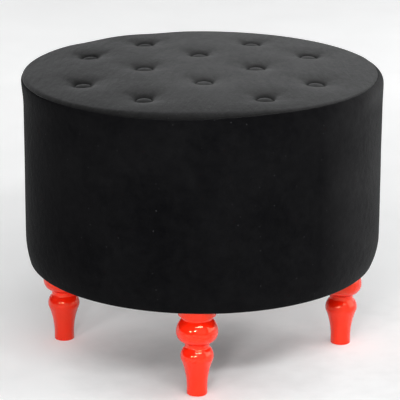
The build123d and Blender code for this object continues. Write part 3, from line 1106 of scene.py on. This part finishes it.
@dataclass
class TuftedSeat:
    """Velvet seat top with its buttons, twines and the padding below."""

    form: SeatForm
    deck_top: float
    velvet: bpy.types.Material
    twine: Twine = Twine()
    cells: int = 104
    crown_share: float = 0.84
    seam_share: float = 0.96
    even_rim: float = 30 * MM
    tuft_fade: float = 45 * MM
    sag_power: int = 8
    cloth_thickness: float = 1.4 * MM
    held_share: float = 0.02
    held_margin: float = 1 * MM
    swell_frames: int = 20
    swell_limit: float = 3.0 * MM
    padding_cells: int = 80
    wadding_inset: float = 3.2 * MM
    groove_depth: float = 4.5 * MM
    groove_width: float = 7 * MM
    foam_gap: float = 0.2 * MM
    foam_roll: float = 12 * MM
    foam_chamfer: float = 1 * MM
    button_height: float = 8.0 * MM
    button_edge: float = 5.0 * MM
    button_sides: int = 48
    button_turning: float = 60.0
    pleats: int = 16
    pleat_depth: float = 0.035

    def top(self) -> bpy.types.Object:
        """The velvet top panel, swollen by the padding between its seam and its buttons.

        Returns:
            The new piece.
        """
        reach, turn, faces = disc_grid(self.cells)
        points = self._face(reach, turn)
        piece = new_piece("seat_top_velvet", points, faces, self.velvet)
        # Painted shade: the share of the way into each pit, read by the velvet to darken its colour
        # there.
        tucked = piece.data.attributes.new(PIT_SHADE_SHARE, "FLOAT", "POINT")
        tucked.data.foreach_set("value", self.form.tucked(points[:, 0], points[:, 1]))
        self._swell(piece, points, reach)
        thicken(piece, self.cloth_thickness, levels=1)
        return piece

    def _face(self, reach: np.ndarray, turn: np.ndarray) -> np.ndarray:
        """Points of the velvet's face: crown, rolled edge, and an edge tucked in at the seam.

        Args:
            reach: Share of the way from the middle to the tucked edge.
            turn: Angle round the seat.

        Returns:
            The points, one row each.
        """
        form = self.form
        edge, seam = form.edge(turn), form.seam_angle(turn)
        flat = np.minimum(reach / self.crown_share, 1) * edge.join
        even_x, even_y = flat * np.cos(turn), flat * np.sin(turn)
        x, y = form.gather(even_x, even_y)
        rim = np.clip((edge.join - flat) / self.even_rim, 0, 1)
        x, y = rim * x + (1 - rim) * even_x, rim * y + (1 - rim) * even_y
        r = np.minimum(np.hypot(x, y), edge.join)
        down = np.clip((reach - self.crown_share) / (self.seam_share - self.crown_share), 0, 1)
        angle = edge.join_angle + (seam - edge.join_angle) * down
        pull = form.seam_pull(edge.roll * (angle - seam) + edge.join - r, turn)
        tuck = np.clip((reach - self.seam_share) / (1 - self.seam_share), 0, 1)
        edge_r, edge_z = edge.at(angle + form.tuck_angle * tuck, pull + tuck * form.seam_tuck)
        on_crown = reach < self.crown_share
        fade = np.clip((edge.join - r) / self.tuft_fade, 0, 1)
        dip = (form.sink(x, y) - form.relief.at(x, y)) * fade + pull
        spread = np.where(on_crown, 1.0, edge_r / edge.join)
        sag = form.sag(turn)
        crown_z = form.crown(r) - dip - sag * (r / edge.join) ** self.sag_power
        z = np.where(on_crown, crown_z, edge_z - sag * (1 - down))
        return np.column_stack([x * spread, y * spread, z])

    def _swell(self, piece: bpy.types.Object, start: np.ndarray, reach: np.ndarray) -> None:
        """Blow the panel up as cloth, held at its seam and under its buttons.

        Args:
            piece: The panel, before it gets its thickness.
            start: Its points.
            reach: Share of the way out of each point.
        """
        form = self.form
        near = np.min([np.hypot(*(start[:, :2] - spot).T) for spot in form.tufts()], axis=0)
        sewn = reach > self.crown_share + self.held_share
        held = sewn | (near < form.button_radius + self.held_margin)
        group = piece.vertex_groups.new(name="sewn")
        group.add(np.flatnonzero(held).tolist(), 1.0, "REPLACE")
        cloth = piece.modifiers.new("swell", "CLOTH")
        settings = {
            "vertex_group_mass": group.name,
            "quality": 6,
            "mass": 0.15,
            "tension_stiffness": 25,
            "compression_stiffness": 25,
            "shear_stiffness": 12,
            "bending_stiffness": 6,
            "use_pressure": True,
            "uniform_pressure_force": 2,
        }
        for key, value in settings.items():
            setattr(cloth.settings, key, value)
        cloth.settings.effector_weights.gravity = 0
        cloth.collision_settings.use_collision = False
        cloth.point_cache.frame_start, cloth.point_cache.frame_end = 1, self.swell_frames
        scene = bpy.context.scene
        for frame in range(1, self.swell_frames + 1):
            scene.frame_set(frame)
        made = piece.evaluated_get(bpy.context.evaluated_depsgraph_get()).data
        swollen = np.empty(3 * len(made.vertices))
        made.vertices.foreach_get("co", swollen)
        move = swollen.reshape(-1, 3) - start
        size = np.linalg.norm(move, axis=1, keepdims=True)
        move *= self.swell_limit * np.tanh(size / self.swell_limit) / np.maximum(size, 1e-9)
        log.info("swell: up to %.1f mm, now %.1f mm", size.max() / MM, np.abs(move).max() / MM)
        piece.modifiers.remove(cloth)
        piece.vertex_groups.remove(group)
        piece.data.vertices.foreach_set("co", (start + move).ravel())
        scene.frame_set(1)

    def _layer(self, outline: np.ndarray, reach: np.ndarray, turn: np.ndarray) -> np.ndarray:
        """Points of a turned layer, spread evenly along its outline.

        Args:
            outline: Radius and height of points from the middle outwards.
            reach: Share of the way along the outline.
            turn: Angle round the seat.

        Returns:
            The points, one row each.
        """
        steps = np.hypot(*np.diff(outline, axis=0).T)
        along = np.concatenate([[0], np.cumsum(steps)]) / steps.sum()
        r = np.interp(reach, along, outline[:, 0])
        return on_circle(r, turn, np.interp(reach, along, outline[:, 1]))

    def wadding(self, foam: Sequence[Vector], material: bpy.types.Material) -> bpy.types.Object:
        """Fibre wadding from under the velvet down over the foam.

        Args:
            foam: Lowest and highest corner of the foam block.
            material: The finish.

        Returns:
            The new piece.
        """
        form = self.form
        reach, turn, faces = disc_grid(self.padding_cells)
        foam_inset = form.body_radius - foam[1][0] - self.foam_gap
        outer_roll = form.fullest_roll - self.wadding_inset
        outer = form.layer_outline(self.wadding_inset, outer_roll, self.deck_top)
        inner = form.layer_outline(foam_inset, self.foam_roll, self.deck_top)
        upper, lower = self._layer(outer, reach, turn), self._layer(inner, reach, turn)
        r, edge = np.hypot(upper[:, 0], upper[:, 1]), form.edge(turn)
        fade = np.clip((edge.join - r) / self.tuft_fade, 0, 1)
        upper[:, 2] -= form.sink(upper[:, 0], upper[:, 1]) * fade
        angle = np.arctan2(upper[:, 2] - edge.height, r - edge.centre)
        away = edge.roll * (angle - form.seam_angle(turn))
        groove = self.groove_depth * np.exp(-((away / self.groove_width) ** 2))
        groove = np.where(r > edge.centre, groove, 0)
        upper -= on_circle(groove * np.cos(angle), turn, groove * np.sin(angle))
        return self._closed("seat_wadding_pad", upper, lower, faces, material)

    def foam(self, corners: Sequence[Vector], material: bpy.types.Material) -> bpy.types.Object:
        """Crowned foam block on the deck.

        Args:
            corners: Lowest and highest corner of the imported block.
            material: The finish.

        Returns:
            The new piece.
        """
        inset = self.form.body_radius - corners[1][0]
        reach, turn, faces = disc_grid(self.padding_cells)
        low = self.deck_top + self.foam_chamfer
        upper = self._layer(self.form.layer_outline(inset, self.foam_roll, low), reach, turn)
        lower = on_circle(reach * (corners[1][0] - self.foam_chamfer), turn, self.deck_top)
        return self._closed("seat_foam_block", upper, lower, faces, material)

    def _closed(
        self,
        name: str,
        upper: np.ndarray,
        lower: np.ndarray,
        faces: list[Face],
        material: bpy.types.Material,
    ) -> bpy.types.Object:
        """A padded piece between two discs of points that share their faces.

        Args:
            name: The piece's name.
            upper: Points of the upper disc.
            lower: Points of the lower disc.
            faces: Faces of the upper disc.
            material: The finish.

        Returns:
            The new piece.
        """
        count = len(upper)
        under = [tuple(count + i for i in reversed(face)) for face in faces]
        rim = disc_rim(self.padding_cells)
        wall = [(a, count + a, count + b, b) for a, b in zip(rim, rim[1:] + rim[:1])]
        points = np.concatenate([upper, lower])
        piece = new_piece(name, points, [*faces, *under, *wall], material)
        return piece

    def buttons(self) -> bpy.types.Object:
        """The covered buttons, each square to the crown.

        Returns:
            The new piece.
        """
        form = self.form
        spots = form.tufts()
        up = form.up_at(spots)
        seat = np.column_stack([spots, form.crown(np.hypot(*spots.T))]) - up * form.tuft_depth
        around = self.button_turning * spots[:, 0]
        along = np.column_stack([np.cos(around), np.sin(around), 0 * around])
        return scatter(self._button(), "seat_buttons", seat, up, along, self.velvet)

    def _button(self) -> bpy.types.Object:
        """One domed button, its cloth drawn in and pleated below the rim.

        Returns:
            The shape, standing on the origin.
        """
        radius, height, edge = self.form.button_radius, self.button_height, self.button_edge
        rise = height - edge
        dome = (radius**2 + rise**2) / (2 * rise)
        half = math.asin(radius / dome)
        outline = [(0.0, -1 * MM), (0.72 * radius, -1 * MM), (0.93 * radius, 0.5 * MM)]
        outline += [(0.985 * radius, 2.2 * MM), (radius, 3.8 * MM), (0.992 * radius, 4.6 * MM)]
        for step in range(1, 10):
            angle = half * (1 - 0.04 - 0.96 * step / 10)
            outline.append((dome * math.sin(angle), height - dome + dome * math.cos(angle)))
        outline.append((0.0, height))
        points, faces = lathe(outline, self.button_sides)
        turn = np.arctan2(points[:, 1], points[:, 0])
        low = np.clip(1 - points[:, 2] / edge, 0, 1)
        points[:, :2] *= (1 - self.pleat_depth * low * (1 + np.cos(self.pleats * turn)))[:, None]
        return new_piece("button_shape", points, faces, self.velvet)

    def twines(self, knots: float, material: bpy.types.Material) -> bpy.types.Object:
        """Two-ply tufting twines, each from its button to a knot under the deck.

        Args:
            knots: Height of the knots' lower ends.
            material: The finish.

        Returns:
            The new piece.
        """
        form, sides = self.form, self.twine.sides
        spots = form.tufts()
        up = form.up_at(spots)
        tops = np.column_stack([spots, form.crown(np.hypot(*spots.T))]) - up * self.twine.start
        parts, faces = [], []
        for top, axis in zip(tops, up):
            low = top + axis * (knots - top[2]) / axis[2]
            for ply in (0.0, math.pi):
                tube = self.twine.strand(low, top, axis, ply)
                shift = sum(len(part) for part in parts)
                parts.append(tube)
                wall = ring_faces(len(tube) // sides, sides)
                ends = (range(sides - 1, -1, -1), range(len(tube) - sides, len(tube)))
                faces += [tuple(shift + i for i in face) for face in (*wall, *ends)]
        return new_piece("tuft_twines", np.concatenate(parts), faces, material)


@dataclass
class DrumSide:
    """Velvet side panel from the seam down the drum and under the base, and its foam sleeve."""

    form: SeatForm
    bottom: float
    velvet: bpy.types.Material
    around: int = 440
    curve_radius: float = 140 * MM
    curve_height: float = 47 * MM
    fold_radius: float = 5 * MM
    hem_width: float = 45 * MM
    cloth_thickness: float = 1.4 * MM
    joint_half: float = 5 * MM
    joint_columns: int = 17
    joint_depth: float = 1.0 * MM
    joint_width: float = 1.8 * MM
    joint_pucker: float = 0.2
    joint_pitch: float = 11 * MM
    joint_fade: float = 8 * MM
    swell_reach: float = 22 * MM
    waist_depth: float = 1.0 * MM
    waist_reach: float = 40 * MM
    draw_in: float = 0.8 * MM
    draw_change: float = 1.8 * MM
    roll_rows: int = 13
    wall_rows: int = 40
    curve_rows: int = 11
    fold_rows: int = 8
    hem_rows: int = 6
    sleeve_sides: int = 180
    sleeve_rows: int = 9
    sleeve_gap: float = 1.6 * MM
    sleeve_inset: float = 9.8 * MM
    sleeve_lip: float = 3 * MM
    sleeve_chamfer: float = 1 * MM
    unevenness: Waves = field(default_factory=lambda: Waves(11, 0.35 * MM, 170 * MM))

    @property
    def curve_start(self) -> float:
        """Height where the side begins to draw in."""
        return self.bottom + self.curve_height

    def _turns(self) -> np.ndarray:
        """Angles round the drum, closer together at the panel's sewn joint at the back.

        Returns:
            The angles, in order.
        """
        even = np.linspace(0, 2 * math.pi, self.around, endpoint=False)
        half = self.joint_half / self.form.body_radius
        joint = math.pi / 2 + np.linspace(-half, half, self.joint_columns)
        apart = np.abs(even - math.pi / 2) > 1.2 * half
        return np.sort(np.concatenate([even[apart], joint]))

    def _tight(self, turn: np.ndarray) -> np.ndarray:
        """How far the foot is drawn in, at angles round the drum: most at the right."""
        return self.draw_in + self.draw_change * np.cos(turn)

    def _roll_rings(self, turn: np.ndarray) -> list[Ring]:
        """Rings from the tucked edge at the seam down the rolled edge.

        Args:
            turn: Angles round the drum.

        Returns:
            Radius and height of each ring.
        """
        form, rings = self.form, []
        edge, seam = form.edge(turn), form.seam_angle(turn)
        drawn = form.seam_pull(0 * turn, turn)
        for share in (1.0, 0.5):
            rings.append(edge.at(seam - form.tuck_angle * share, drawn + share * form.seam_tuck))
        for share in np.linspace(0, 1, self.roll_rows) ** 1.4:
            angle = seam * (1 - share)
            rings.append(edge.at(angle, form.seam_pull(edge.roll * (seam - angle), turn)))
        return rings

    def _wall_rings(self, turn: np.ndarray) -> list[Ring]:
        """Rings down the drum, slack at its waist and a little uneven.

        Args:
            turn: Angles round the drum.

        Returns:
            Radius and height of each ring.
        """
        form, rings = self.form, []
        top = form.edge(turn).height
        waist = self.waist_depth * (1 - np.cos(turn)) / 2
        for share in np.linspace(0, 1, self.wall_rows)[1:]:
            z = top + (self.curve_start - top) * share
            proud = form.swell(turn) * np.exp(-(((top - z) / self.swell_reach) ** 2))
            slack = waist * np.clip((top - z) / self.waist_reach, 0, 1) * math.cos(share * math.pi / 2)
            wave = self.unevenness.at(turn * form.body_radius, z)
            rings.append((form.body_radius + proud - slack + math.sin(math.pi * share) * wave, z))
        return rings

    def _foot_rings(self, turn: np.ndarray) -> list[Ring]:
        """Rings round the foot, its fold and the hem under the base.

        Args:
            turn: Angles round the drum.

        Returns:
            Radius and height of each ring.
        """
        radius, tight, rings = self.form.body_radius, self._tight(turn), []
        reach = self.curve_radius - self.fold_radius
        turned = math.asin((self.curve_height - self.fold_radius) / reach)
        for share in np.linspace(0, 1, self.curve_rows)[1:]:
            r = radius - self.curve_radius * (1 - math.cos(turned * share))
            z = self.curve_start - self.curve_radius * math.sin(turned * share)
            rings.append((r - tight * share**2, z + 0 * turn))
        centre = radius - self.curve_radius + reach * math.cos(turned) - tight
        for angle in np.linspace(turned, math.pi / 2, self.fold_rows)[1:]:
            z = self.bottom + self.fold_radius * (1 - math.sin(angle))
            rings.append((centre + self.fold_radius * math.cos(angle), z + 0 * turn))
        for share in np.linspace(0, 1, self.hem_rows)[1:]:
            r = centre + (radius - self.hem_width - centre) * share
            rings.append((r, self.bottom + 0 * turn))
        return rings

    def panel(self) -> bpy.types.Object:
        """The side panel's cloth, with its upright joint sewn at the back.

        Returns:
            The new piece.
        """
        form = self.form
        turn = self._turns()
        arc = (turn - math.pi / 2) * form.body_radius
        near = np.exp(-((arc / self.joint_width) ** 2))
        rings = []
        for r, z in (*self._roll_rings(turn), *self._wall_rings(turn), *self._foot_rings(turn)):
            pucker = 1 + self.joint_pucker * np.sin(z * 2 * math.pi / self.joint_pitch)
            seen = np.clip((z - self.bottom) / self.joint_fade, 0, 1)
            rings.append(on_circle(r - self.joint_depth * pucker * near * seen, turn, z))
        faces = [tuple(reversed(face)) for face in ring_faces(len(rings), len(turn))]
        piece = new_piece("side_velvet", np.concatenate(rings), faces, self.velvet)
        thicken(piece, self.cloth_thickness)
        return piece

    def sleeve(self, corners: Sequence[Vector], material: bpy.types.Material) -> bpy.types.Object:
        """Foam sleeve behind the velvet, drawn in with it at the bottom.

        Args:
            corners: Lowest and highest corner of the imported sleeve.
            material: The finish.

        Returns:
            The new piece.
        """
        outside, inside = corners[1][0] - self.sleeve_gap, corners[1][0] - self.sleeve_inset
        low, high = corners[0][2], corners[1][2]
        turn = np.linspace(0, 2 * math.pi, self.sleeve_sides, endpoint=False)
        tight = self._tight(turn)
        z = np.linspace(low, self.curve_start, self.sleeve_rows)
        fall = (self.curve_start - z) / self.curve_height
        drop = self.curve_radius - np.sqrt(self.curve_radius**2 - (self.curve_start - z) ** 2)
        outline = [(outside - d - tight * f**2, level) for d, f, level in zip(drop, fall, z)]
        chamfer = self.sleeve_chamfer
        outline += [(outside, high - self.sleeve_lip), (outside - chamfer, high)]
        outline += [(inside + chamfer, high), (inside, high - chamfer), (inside, low)]
        points = np.concatenate([on_circle(r, turn, level) for r, level in outline])
        faces = ring_faces(len(outline), len(turn), closed=True)
        piece = new_piece("side_foam_sleeve", points, faces, material)
        return piece


@dataclass
class Underside:
    """Dust cover stapled under the base, and the felt pads under the feet."""

    leg_places: np.ndarray
    cover_radius: float
    cover_top: float
    cells: int = 76
    bolt_room: float = 9 * MM
    leg_room: float = 36 * MM
    leg_fade: float = 50 * MM
    edge_fade: float = 0.12
    sag: float = 1.6 * MM
    cover_gap: float = 0.45 * MM
    cover_thickness: float = 0.4 * MM
    staple_count: int = 56
    staple_inset: float = 6 * MM
    staple_gap: float = 0.5 * MM
    felt_sides: int = 40
    unevenness: Waves = field(default_factory=lambda: Waves(7, 0.25 * MM, 70 * MM))

    def dust_cover(self, material: bpy.types.Material) -> bpy.types.Object:
        """Thin cloth stretched under the base, cut out round the leg bolts.

        Args:
            material: The finish.

        Returns:
            The new piece.
        """
        reach, turn, faces = disc_grid(self.cells)
        r = reach * self.cover_radius
        x, y = r * np.cos(turn), r * np.sin(turn)
        clear = np.min([np.hypot(x - a, y - b) for a, b in self.leg_places], axis=0)
        free = np.clip((clear - self.leg_room) / self.leg_fade, 0, 1)
        free = free * np.clip((1 - reach) / self.edge_fade, 0, 1)
        hang = (self.sag + self.unevenness.at(x, y)) * free * free * (3 - 2 * free)
        points = np.column_stack([x, y, self.cover_top - self.cover_gap - hang])
        kept = [tuple(reversed(face)) for face in faces if clear[list(face)].min() > self.bolt_room]
        used = sorted({i for face in kept for i in face})
        number = {old: new for new, old in enumerate(used)}
        kept = [tuple(number[i] for i in face) for face in kept]
        piece = new_piece("dust_cover_cloth", points[used], kept, material)
        thicken(piece, self.cover_thickness)
        return piece

    def staples(self, material: bpy.types.Material) -> bpy.types.Object:
        """Staples round the dust cover's edge.

        Args:
            material: The finish.

        Returns:
            The new piece.
        """
        number = np.arange(self.staple_count)
        turn = np.linspace(0, 2 * math.pi, self.staple_count, endpoint=False) + 0.03
        turn = turn + 0.012 * np.sin(7.3 * number)
        r = self.cover_radius - self.staple_inset + 1 * MM * np.sin(3.1 * number)
        points = on_circle(r, turn, self.cover_top - self.staple_gap)
        along = np.column_stack([-np.sin(turn), np.cos(turn), 0 * turn])
        up = np.tile(UP, (self.staple_count, 1))
        return scatter(self._staple(material), "dust_cover_staples", points, up, along, material)

    @staticmethod
    def _staple(material: bpy.types.Material) -> bpy.types.Object:
        """One flat wire staple, its legs up.

        Args:
            material: The finish.

        Returns:
            The shape, about the origin.
        """
        path = [(-5.4, 1.2), (-5.4, 0.1), (-5.0, -0.3), (5.0, -0.3), (5.4, 0.1), (5.4, 1.2)]
        inward = [(0.5, 0.0), (0.45, 0.2), (0.2, 0.45), (-0.2, 0.45), (-0.45, 0.2), (-0.5, 0.0)]
        points, faces = [], []
        for (x, z), (dx, dz) in zip(path, inward):
            points += [(x, -0.6, z), (x, 0.6, z), (x + dx, 0.6, z + dz), (x + dx, -0.6, z + dz)]
        for step in range(len(path) - 1):
            low = 4 * step
            faces += [(low + i, low + 4 + i, low + 4 + (i + 1) % 4, low + (i + 1) % 4) for i in range(4)]
        last = len(points) - 4
        faces += [(0, 1, 2, 3), (last + 3, last + 2, last + 1, last)]
        return new_piece("staple_shape", MM * np.array(points), faces, material)

    def felts(self, corners: Sequence[Vector], material: bpy.types.Material) -> bpy.types.Object:
        """Round felt pads under the feet.

        Args:
            corners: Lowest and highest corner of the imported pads.
            material: The finish.

        Returns:
            The new piece.
        """
        radius = corners[1][0] - self.leg_places[:, 0].max()
        thick = corners[1][2]
        outline = [(0.0, 0.0), (0.6 * radius, 0.0), (radius - 0.3 * MM, 0.0), (radius, 0.3 * thick)]
        outline += [(radius, 0.8 * thick), (radius - 0.2 * MM, thick), (0.5 * radius, thick)]
        points, faces = lathe([*outline, (0.0, thick)], self.felt_sides)
        shape = new_piece("felt_shape", points, faces, material)
        spots = np.column_stack([self.leg_places, np.zeros(len(self.leg_places))])
        up = np.tile(UP, (len(spots), 1))
        along = np.tile((1.0, 0.0, 0.0), (len(spots), 1))
        return scatter(shape, "foot_felts", spots, up, along, material)


@dataclass(frozen=True)
class PhotoCamera:
    """Camera at the reference view."""

    focal_pixels: float = 2165.8
    frame_pixels: float = 400.0
    sensor: float = 36.0
    distance: float = 3.3884
    height: float = 1.3170
    azimuth: float = 1.911
    pitch: float = 17.546
    roll: float = 0.139
    axis_pixels: float = 2.557

    def build(self) -> None:
        """Make it the scene's camera."""
        data = bpy.data.cameras.new("reference_camera")
        data.sensor_width = self.sensor
        data.lens = self.focal_pixels * self.sensor / self.frame_pixels
        turn = math.radians(self.azimuth)
        yaw = turn + math.atan(self.axis_pixels / self.focal_pixels)
        look = Euler((math.radians(90 - self.pitch), 0, yaw)).to_matrix()
        camera = bpy.data.objects.new("reference_camera", data)
        camera.location = (self.distance * math.sin(turn), -self.distance * math.cos(turn), self.height)
        camera.rotation_euler = (look @ Matrix.Rotation(math.radians(self.roll), 3, "Z")).to_euler()
        bpy.context.scene.collection.objects.link(camera)
        bpy.context.scene.camera = camera


@dataclass(frozen=True)
class SoftBox:
    """One studio lamp aimed at the object."""

    name: str
    azimuth: float
    elevation: float
    distance: float
    size: Span
    power: float
    aim: tuple[float, float, float] = (0.0, 0.0, 0.2)

    def build(self) -> None:
        """Make the lamp; its azimuth is taken from the front, towards the right."""
        data = bpy.data.lights.new(self.name, "AREA")
        data.shape = "RECTANGLE"
        data.size, data.size_y = self.size
        data.energy = self.power
        lamp = bpy.data.objects.new(self.name, data)
        turn, rise = math.radians(self.azimuth), math.radians(self.elevation)
        flat = self.distance * math.cos(rise)
        away = Vector((flat * math.sin(turn), -flat * math.cos(turn), self.distance * math.sin(rise)))
        lamp.location = Vector(self.aim) + away
        lamp.rotation_euler = (-away).to_track_quat("-Z", "Y").to_euler()
        bpy.context.scene.collection.objects.link(lamp)


@dataclass
class Studio:
    """Pale floor, even surrounding light and soft lamps."""

    floor_half: float = 9.0
    floor_colour: Colour = (0.83, 0.835, 0.835)
    floor_dim: float = 0.92
    floor_lumps: Span = (5.0, 24.0)
    no_glow: Colour = (0.0, 0.0, 0.0)
    glow_near: tuple[Colour, Colour] = ((0.27, 0.27, 0.27), (0.08, 0.08, 0.08))
    glow_far: tuple[Colour, Colour] = ((0.52, 0.52, 0.52), (0.53, 0.53, 0.53))
    glow_across: Span = (-0.6, 0.6)
    glow_back: Span = (-0.2, 1.7)
    # Painted shadow: the glow fades out round this point, just in front of the object, over this reach.
    painted_shadow_centre: Span = (0.0, -0.12)
    painted_shadow_reach: Span = (0.08, 0.24)
    horizon: tuple[Colour, Colour] = ((0.05, 0.051, 0.052), (0.6, 0.605, 0.61))
    horizon_across: Span = (-0.8, 0.8)
    zenith: Colour = (0.15, 0.152, 0.154)
    zenith_rise: Span = (0.0, 0.6)
    lamps: tuple[SoftBox, ...] = (
        SoftBox("front_high", 16.0, 42.0, 3.0, (2.2, 0.26), 44.0),
        SoftBox("front_fill", 24.0, 20.0, 3.0, (2.8, 1.8), 9.0),
        SoftBox("spark_left", -31.0, 13.0, 2.6, (0.3, 0.3), 13.0),
        SoftBox("spark_mid", -8.0, 19.0, 2.6, (0.34, 0.28), 18.0),
        SoftBox("overhead", 0.0, 80.0, 2.6, (1.6, 1.6), 4.0),
        SoftBox("right_side", 88.0, 24.0, 2.8, (2.6, 2.4), 41.0),
        SoftBox("back_left", -140.0, 12.0, 3.0, (1.6, 0.6), 4.0),
        SoftBox("back_right", 140.0, 12.0, 3.0, (1.6, 0.6), 8.0),
    )

    def build(self) -> None:
        """Make the floor, the surround and the lamps."""
        self._floor()
        self._surround()
        for lamp in self.lamps:
            lamp.build()
        bpy.context.scene.view_settings.view_transform = "Standard"

    def _surround(self) -> None:
        """Soft surrounding light, brightest near the horizon at the right."""
        world = bpy.data.worlds.new("studio_surround")
        bpy.context.scene.world = world
        world.use_nodes = True
        graph = NodeGraph(world.node_tree)
        way = graph.out(graph.node("ShaderNodeTexCoord", {}, {}), "Generated")
        rise = graph.stretch(graph.axis(way, "Z"), *self.zenith_rise)
        low = graph.blend(graph.stretch(graph.axis(way, "X"), *self.horizon_across), *self.horizon)
        light = graph.blend(rise, low, self.zenith)
        graph.close(graph.node("ShaderNodeBackground", {}, {"Color": light}), "ShaderNodeOutputWorld")

    def _floor(self) -> None:
        """Pale floor that shows brighter than its light makes it, more so behind and at the right.

        Round the object that glow fades out, which paints a shadow under it.
        """
        tree = ShaderTree("studio_floor")
        place = tree.place()
        coarse = tree.noise(place, self.floor_lumps[0], 4, 0.6)
        fine = tree.noise(place, self.floor_lumps[1], 3, 0.6)
        cloud = tree.stretch(0.6 * coarse + 0.4 * fine, 0.4, 0.6)
        dim = tuple(self.floor_dim * channel for channel in self.floor_colour)
        path = tree.node("ShaderNodeLightPath", {}, {})
        seen = tree.out(path, "Is Camera Ray")
        for ray in ("Is Glossy Ray", "Is Transmission Ray"):
            seen = tree.math("MAXIMUM", seen, tree.out(path, ray))
        x, y = tree.axis(place, "X"), tree.axis(place, "Y")
        side, back = tree.stretch(x, *self.glow_across), tree.stretch(y, *self.glow_back)
        glow_with_shadow = tree.blend(back, tree.blend(side, *self.glow_near), tree.blend(side, *self.glow_far))
        # Painted shadow: near the object the glow fades to nothing, so the floor shows darker under it.
        x, y = x - self.painted_shadow_centre[0], y - self.painted_shadow_centre[1]
        clear = tree.stretch(tree.math("SQRT", x * x + y * y, 0.0), *self.painted_shadow_reach)
        glow_with_shadow = tree.blend(clear, self.no_glow, glow_with_shadow)
        corners = [(-1, -1), (1, -1), (1, 1), (-1, 1)]
        floor = new_piece(
            "floor",
            np.array([(x * self.floor_half, y * self.floor_half, 0) for x, y in corners]),
            [(0, 1, 2, 3)],
            tree.finish(
                {
                    "Base Color": tree.blend(cloud, dim, self.floor_colour),
                    "Roughness": 0.9,
                    "Specular IOR Level": 0.1,
                    "Emission Color": tree.blend(seen, self.no_glow, glow_with_shadow),
                    "Emission Strength": 1.0,
                }
            ),
        )


class FrameFinish(Enum):
    """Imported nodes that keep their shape, by the start of their names, and their finishes."""

    LEG = ("leg_", Lacquer())
    DECK = (
        "deck_board",
        Timber("deck_plywood", (0.62, 0.44, 0.25), (0.76, 0.6, 0.4), (90, 7, 90), 2.6 * MM),
    )
    BASE = (
        "base_board",
        Timber("base_plywood", (0.6, 0.43, 0.25), (0.74, 0.58, 0.38), (7, 90, 90), 2.6 * MM),
    )
    POST = ("frame_post", Timber("pine", (0.7, 0.52, 0.3), (0.84, 0.68, 0.45), (120, 120, 8)))
    WALL = (
        "wall_panel",
        Timber("hardboard", (0.22, 0.13, 0.07), (0.34, 0.22, 0.13), (300, 300, 300)),
    )
    FIXING = ("", Plated())

    def dress(self, nodes: dict[str, bpy.types.Object], done: set[str]) -> None:
        """Give the nodes that are still bare and start with this name their finish.

        Args:
            nodes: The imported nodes.
            done: Names of the nodes that have a finish, added to here.
        """
        start, finish = self.value
        material = finish.build()
        for name, node in nodes.items():
            if name.startswith(start) and name not in done:
                done.add(name)
                for slot in node.material_slots:
                    slot.material = material


def main() -> None:
    """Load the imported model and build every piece."""
    logging.basicConfig(level=logging.INFO, format="%(name)s %(message)s")
    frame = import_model()
    nodes = frame["nodes"]
    PhotoCamera().build()
    Studio().build()

    # Both velvets paint light and shade into their base colour: lighter to the right, darker at the
    # front edge and in the pits, and paler on the side's upper right shoulder.
    top_velvet = Velvet(
        "top_velvet",
        deep=(0.001, 0.001, 0.001),
        brushed=(0.047, 0.047, 0.047),
        sheen=0.133,
        sheen_roughness=0.5,
        lie_depth=1.35 * MM,
        right_light_share=0.45,
        right_light_between=(-0.21, 0.03),
        front_shade_between=(-0.1, -0.3),
        stroke_scale=(1.3, 0.36, 1.0),
    ).build()
    side_velvet = Velvet(
        "side_velvet",
        deep=(0.0007, 0.0007, 0.0011),
        brushed=(0.027, 0.027, 0.0276),
        sheen=0.046,
        sheen_roughness=0.38,
        lie_depth=0.85 * MM,
        unlit_nap_gain=0.28,
        # Painted highlight: the side's upper right shoulder is paler above this height.
        highlight_above=(0.425, 0.445),
    ).build()
    wadding = Fibres("white_wadding", (0.7, 0.7, 0.68), (0.92, 0.92, 0.9)).build()
    twine = Fibres("waxed_twine", (0.42, 0.34, 0.2), (0.62, 0.53, 0.36), 600, 0.2 * MM).build()
    felt = Fibres("brown_felt", (0.05, 0.04, 0.032), (0.14, 0.11, 0.09), 900).build()
    cloth = Weave("dust_cover_weave", (0.02, 0.02, 0.021), (0.006, 0.006, 0.006)).build()
    foam = Foam().build()
    zinc = Plated("staple_wire").build()

    side_low, side_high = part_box("side_cover")
    deck_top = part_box("deck_board")[1][2]
    form = SeatForm(side_high[0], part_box("top_cover")[1][2])
    seat = TuftedSeat(form, deck_top, top_velvet)
    hang_on(seat.top(), "velvet_black", "top_cover")
    hang_on(seat.buttons(), "velvet_black", "tuft_buttons")
    hang_on(seat.wadding(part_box("seat_foam"), wadding), "wadding", "seat_wadding")
    hang_on(seat.foam(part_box("seat_foam"), foam), "foam", "seat_foam")
    hang_on(seat.twines(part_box("button_twines")[0][2], twine), "twine", "button_twines")

    side = DrumSide(form, side_low[2], side_velvet)
    hang_on(side.panel(), "velvet_black", "side_cover")
    hang_on(side.sleeve(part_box("side_foam"), foam), "foam", "side_foam")

    legs = [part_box(name) for name in nodes if name.startswith("leg_")]
    places = np.array([[(low[axis] + high[axis]) / 2 for axis in (0, 1)] for low, high in legs])
    _, cover_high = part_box("dust_cover")
    under = Underside(places, cover_high[0], cover_high[2])
    hang_on(under.dust_cover(cloth), "cambric", "dust_cover")
    hang_on(under.staples(zinc), "zinc")
    hang_on(under.felts(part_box("felt_pads"), felt), "felt", "felt_pads")

    done: set[str] = set()
    for finish in FrameFinish:
        finish.dress(nodes, done)


if __name__ == "__main__":
    main()
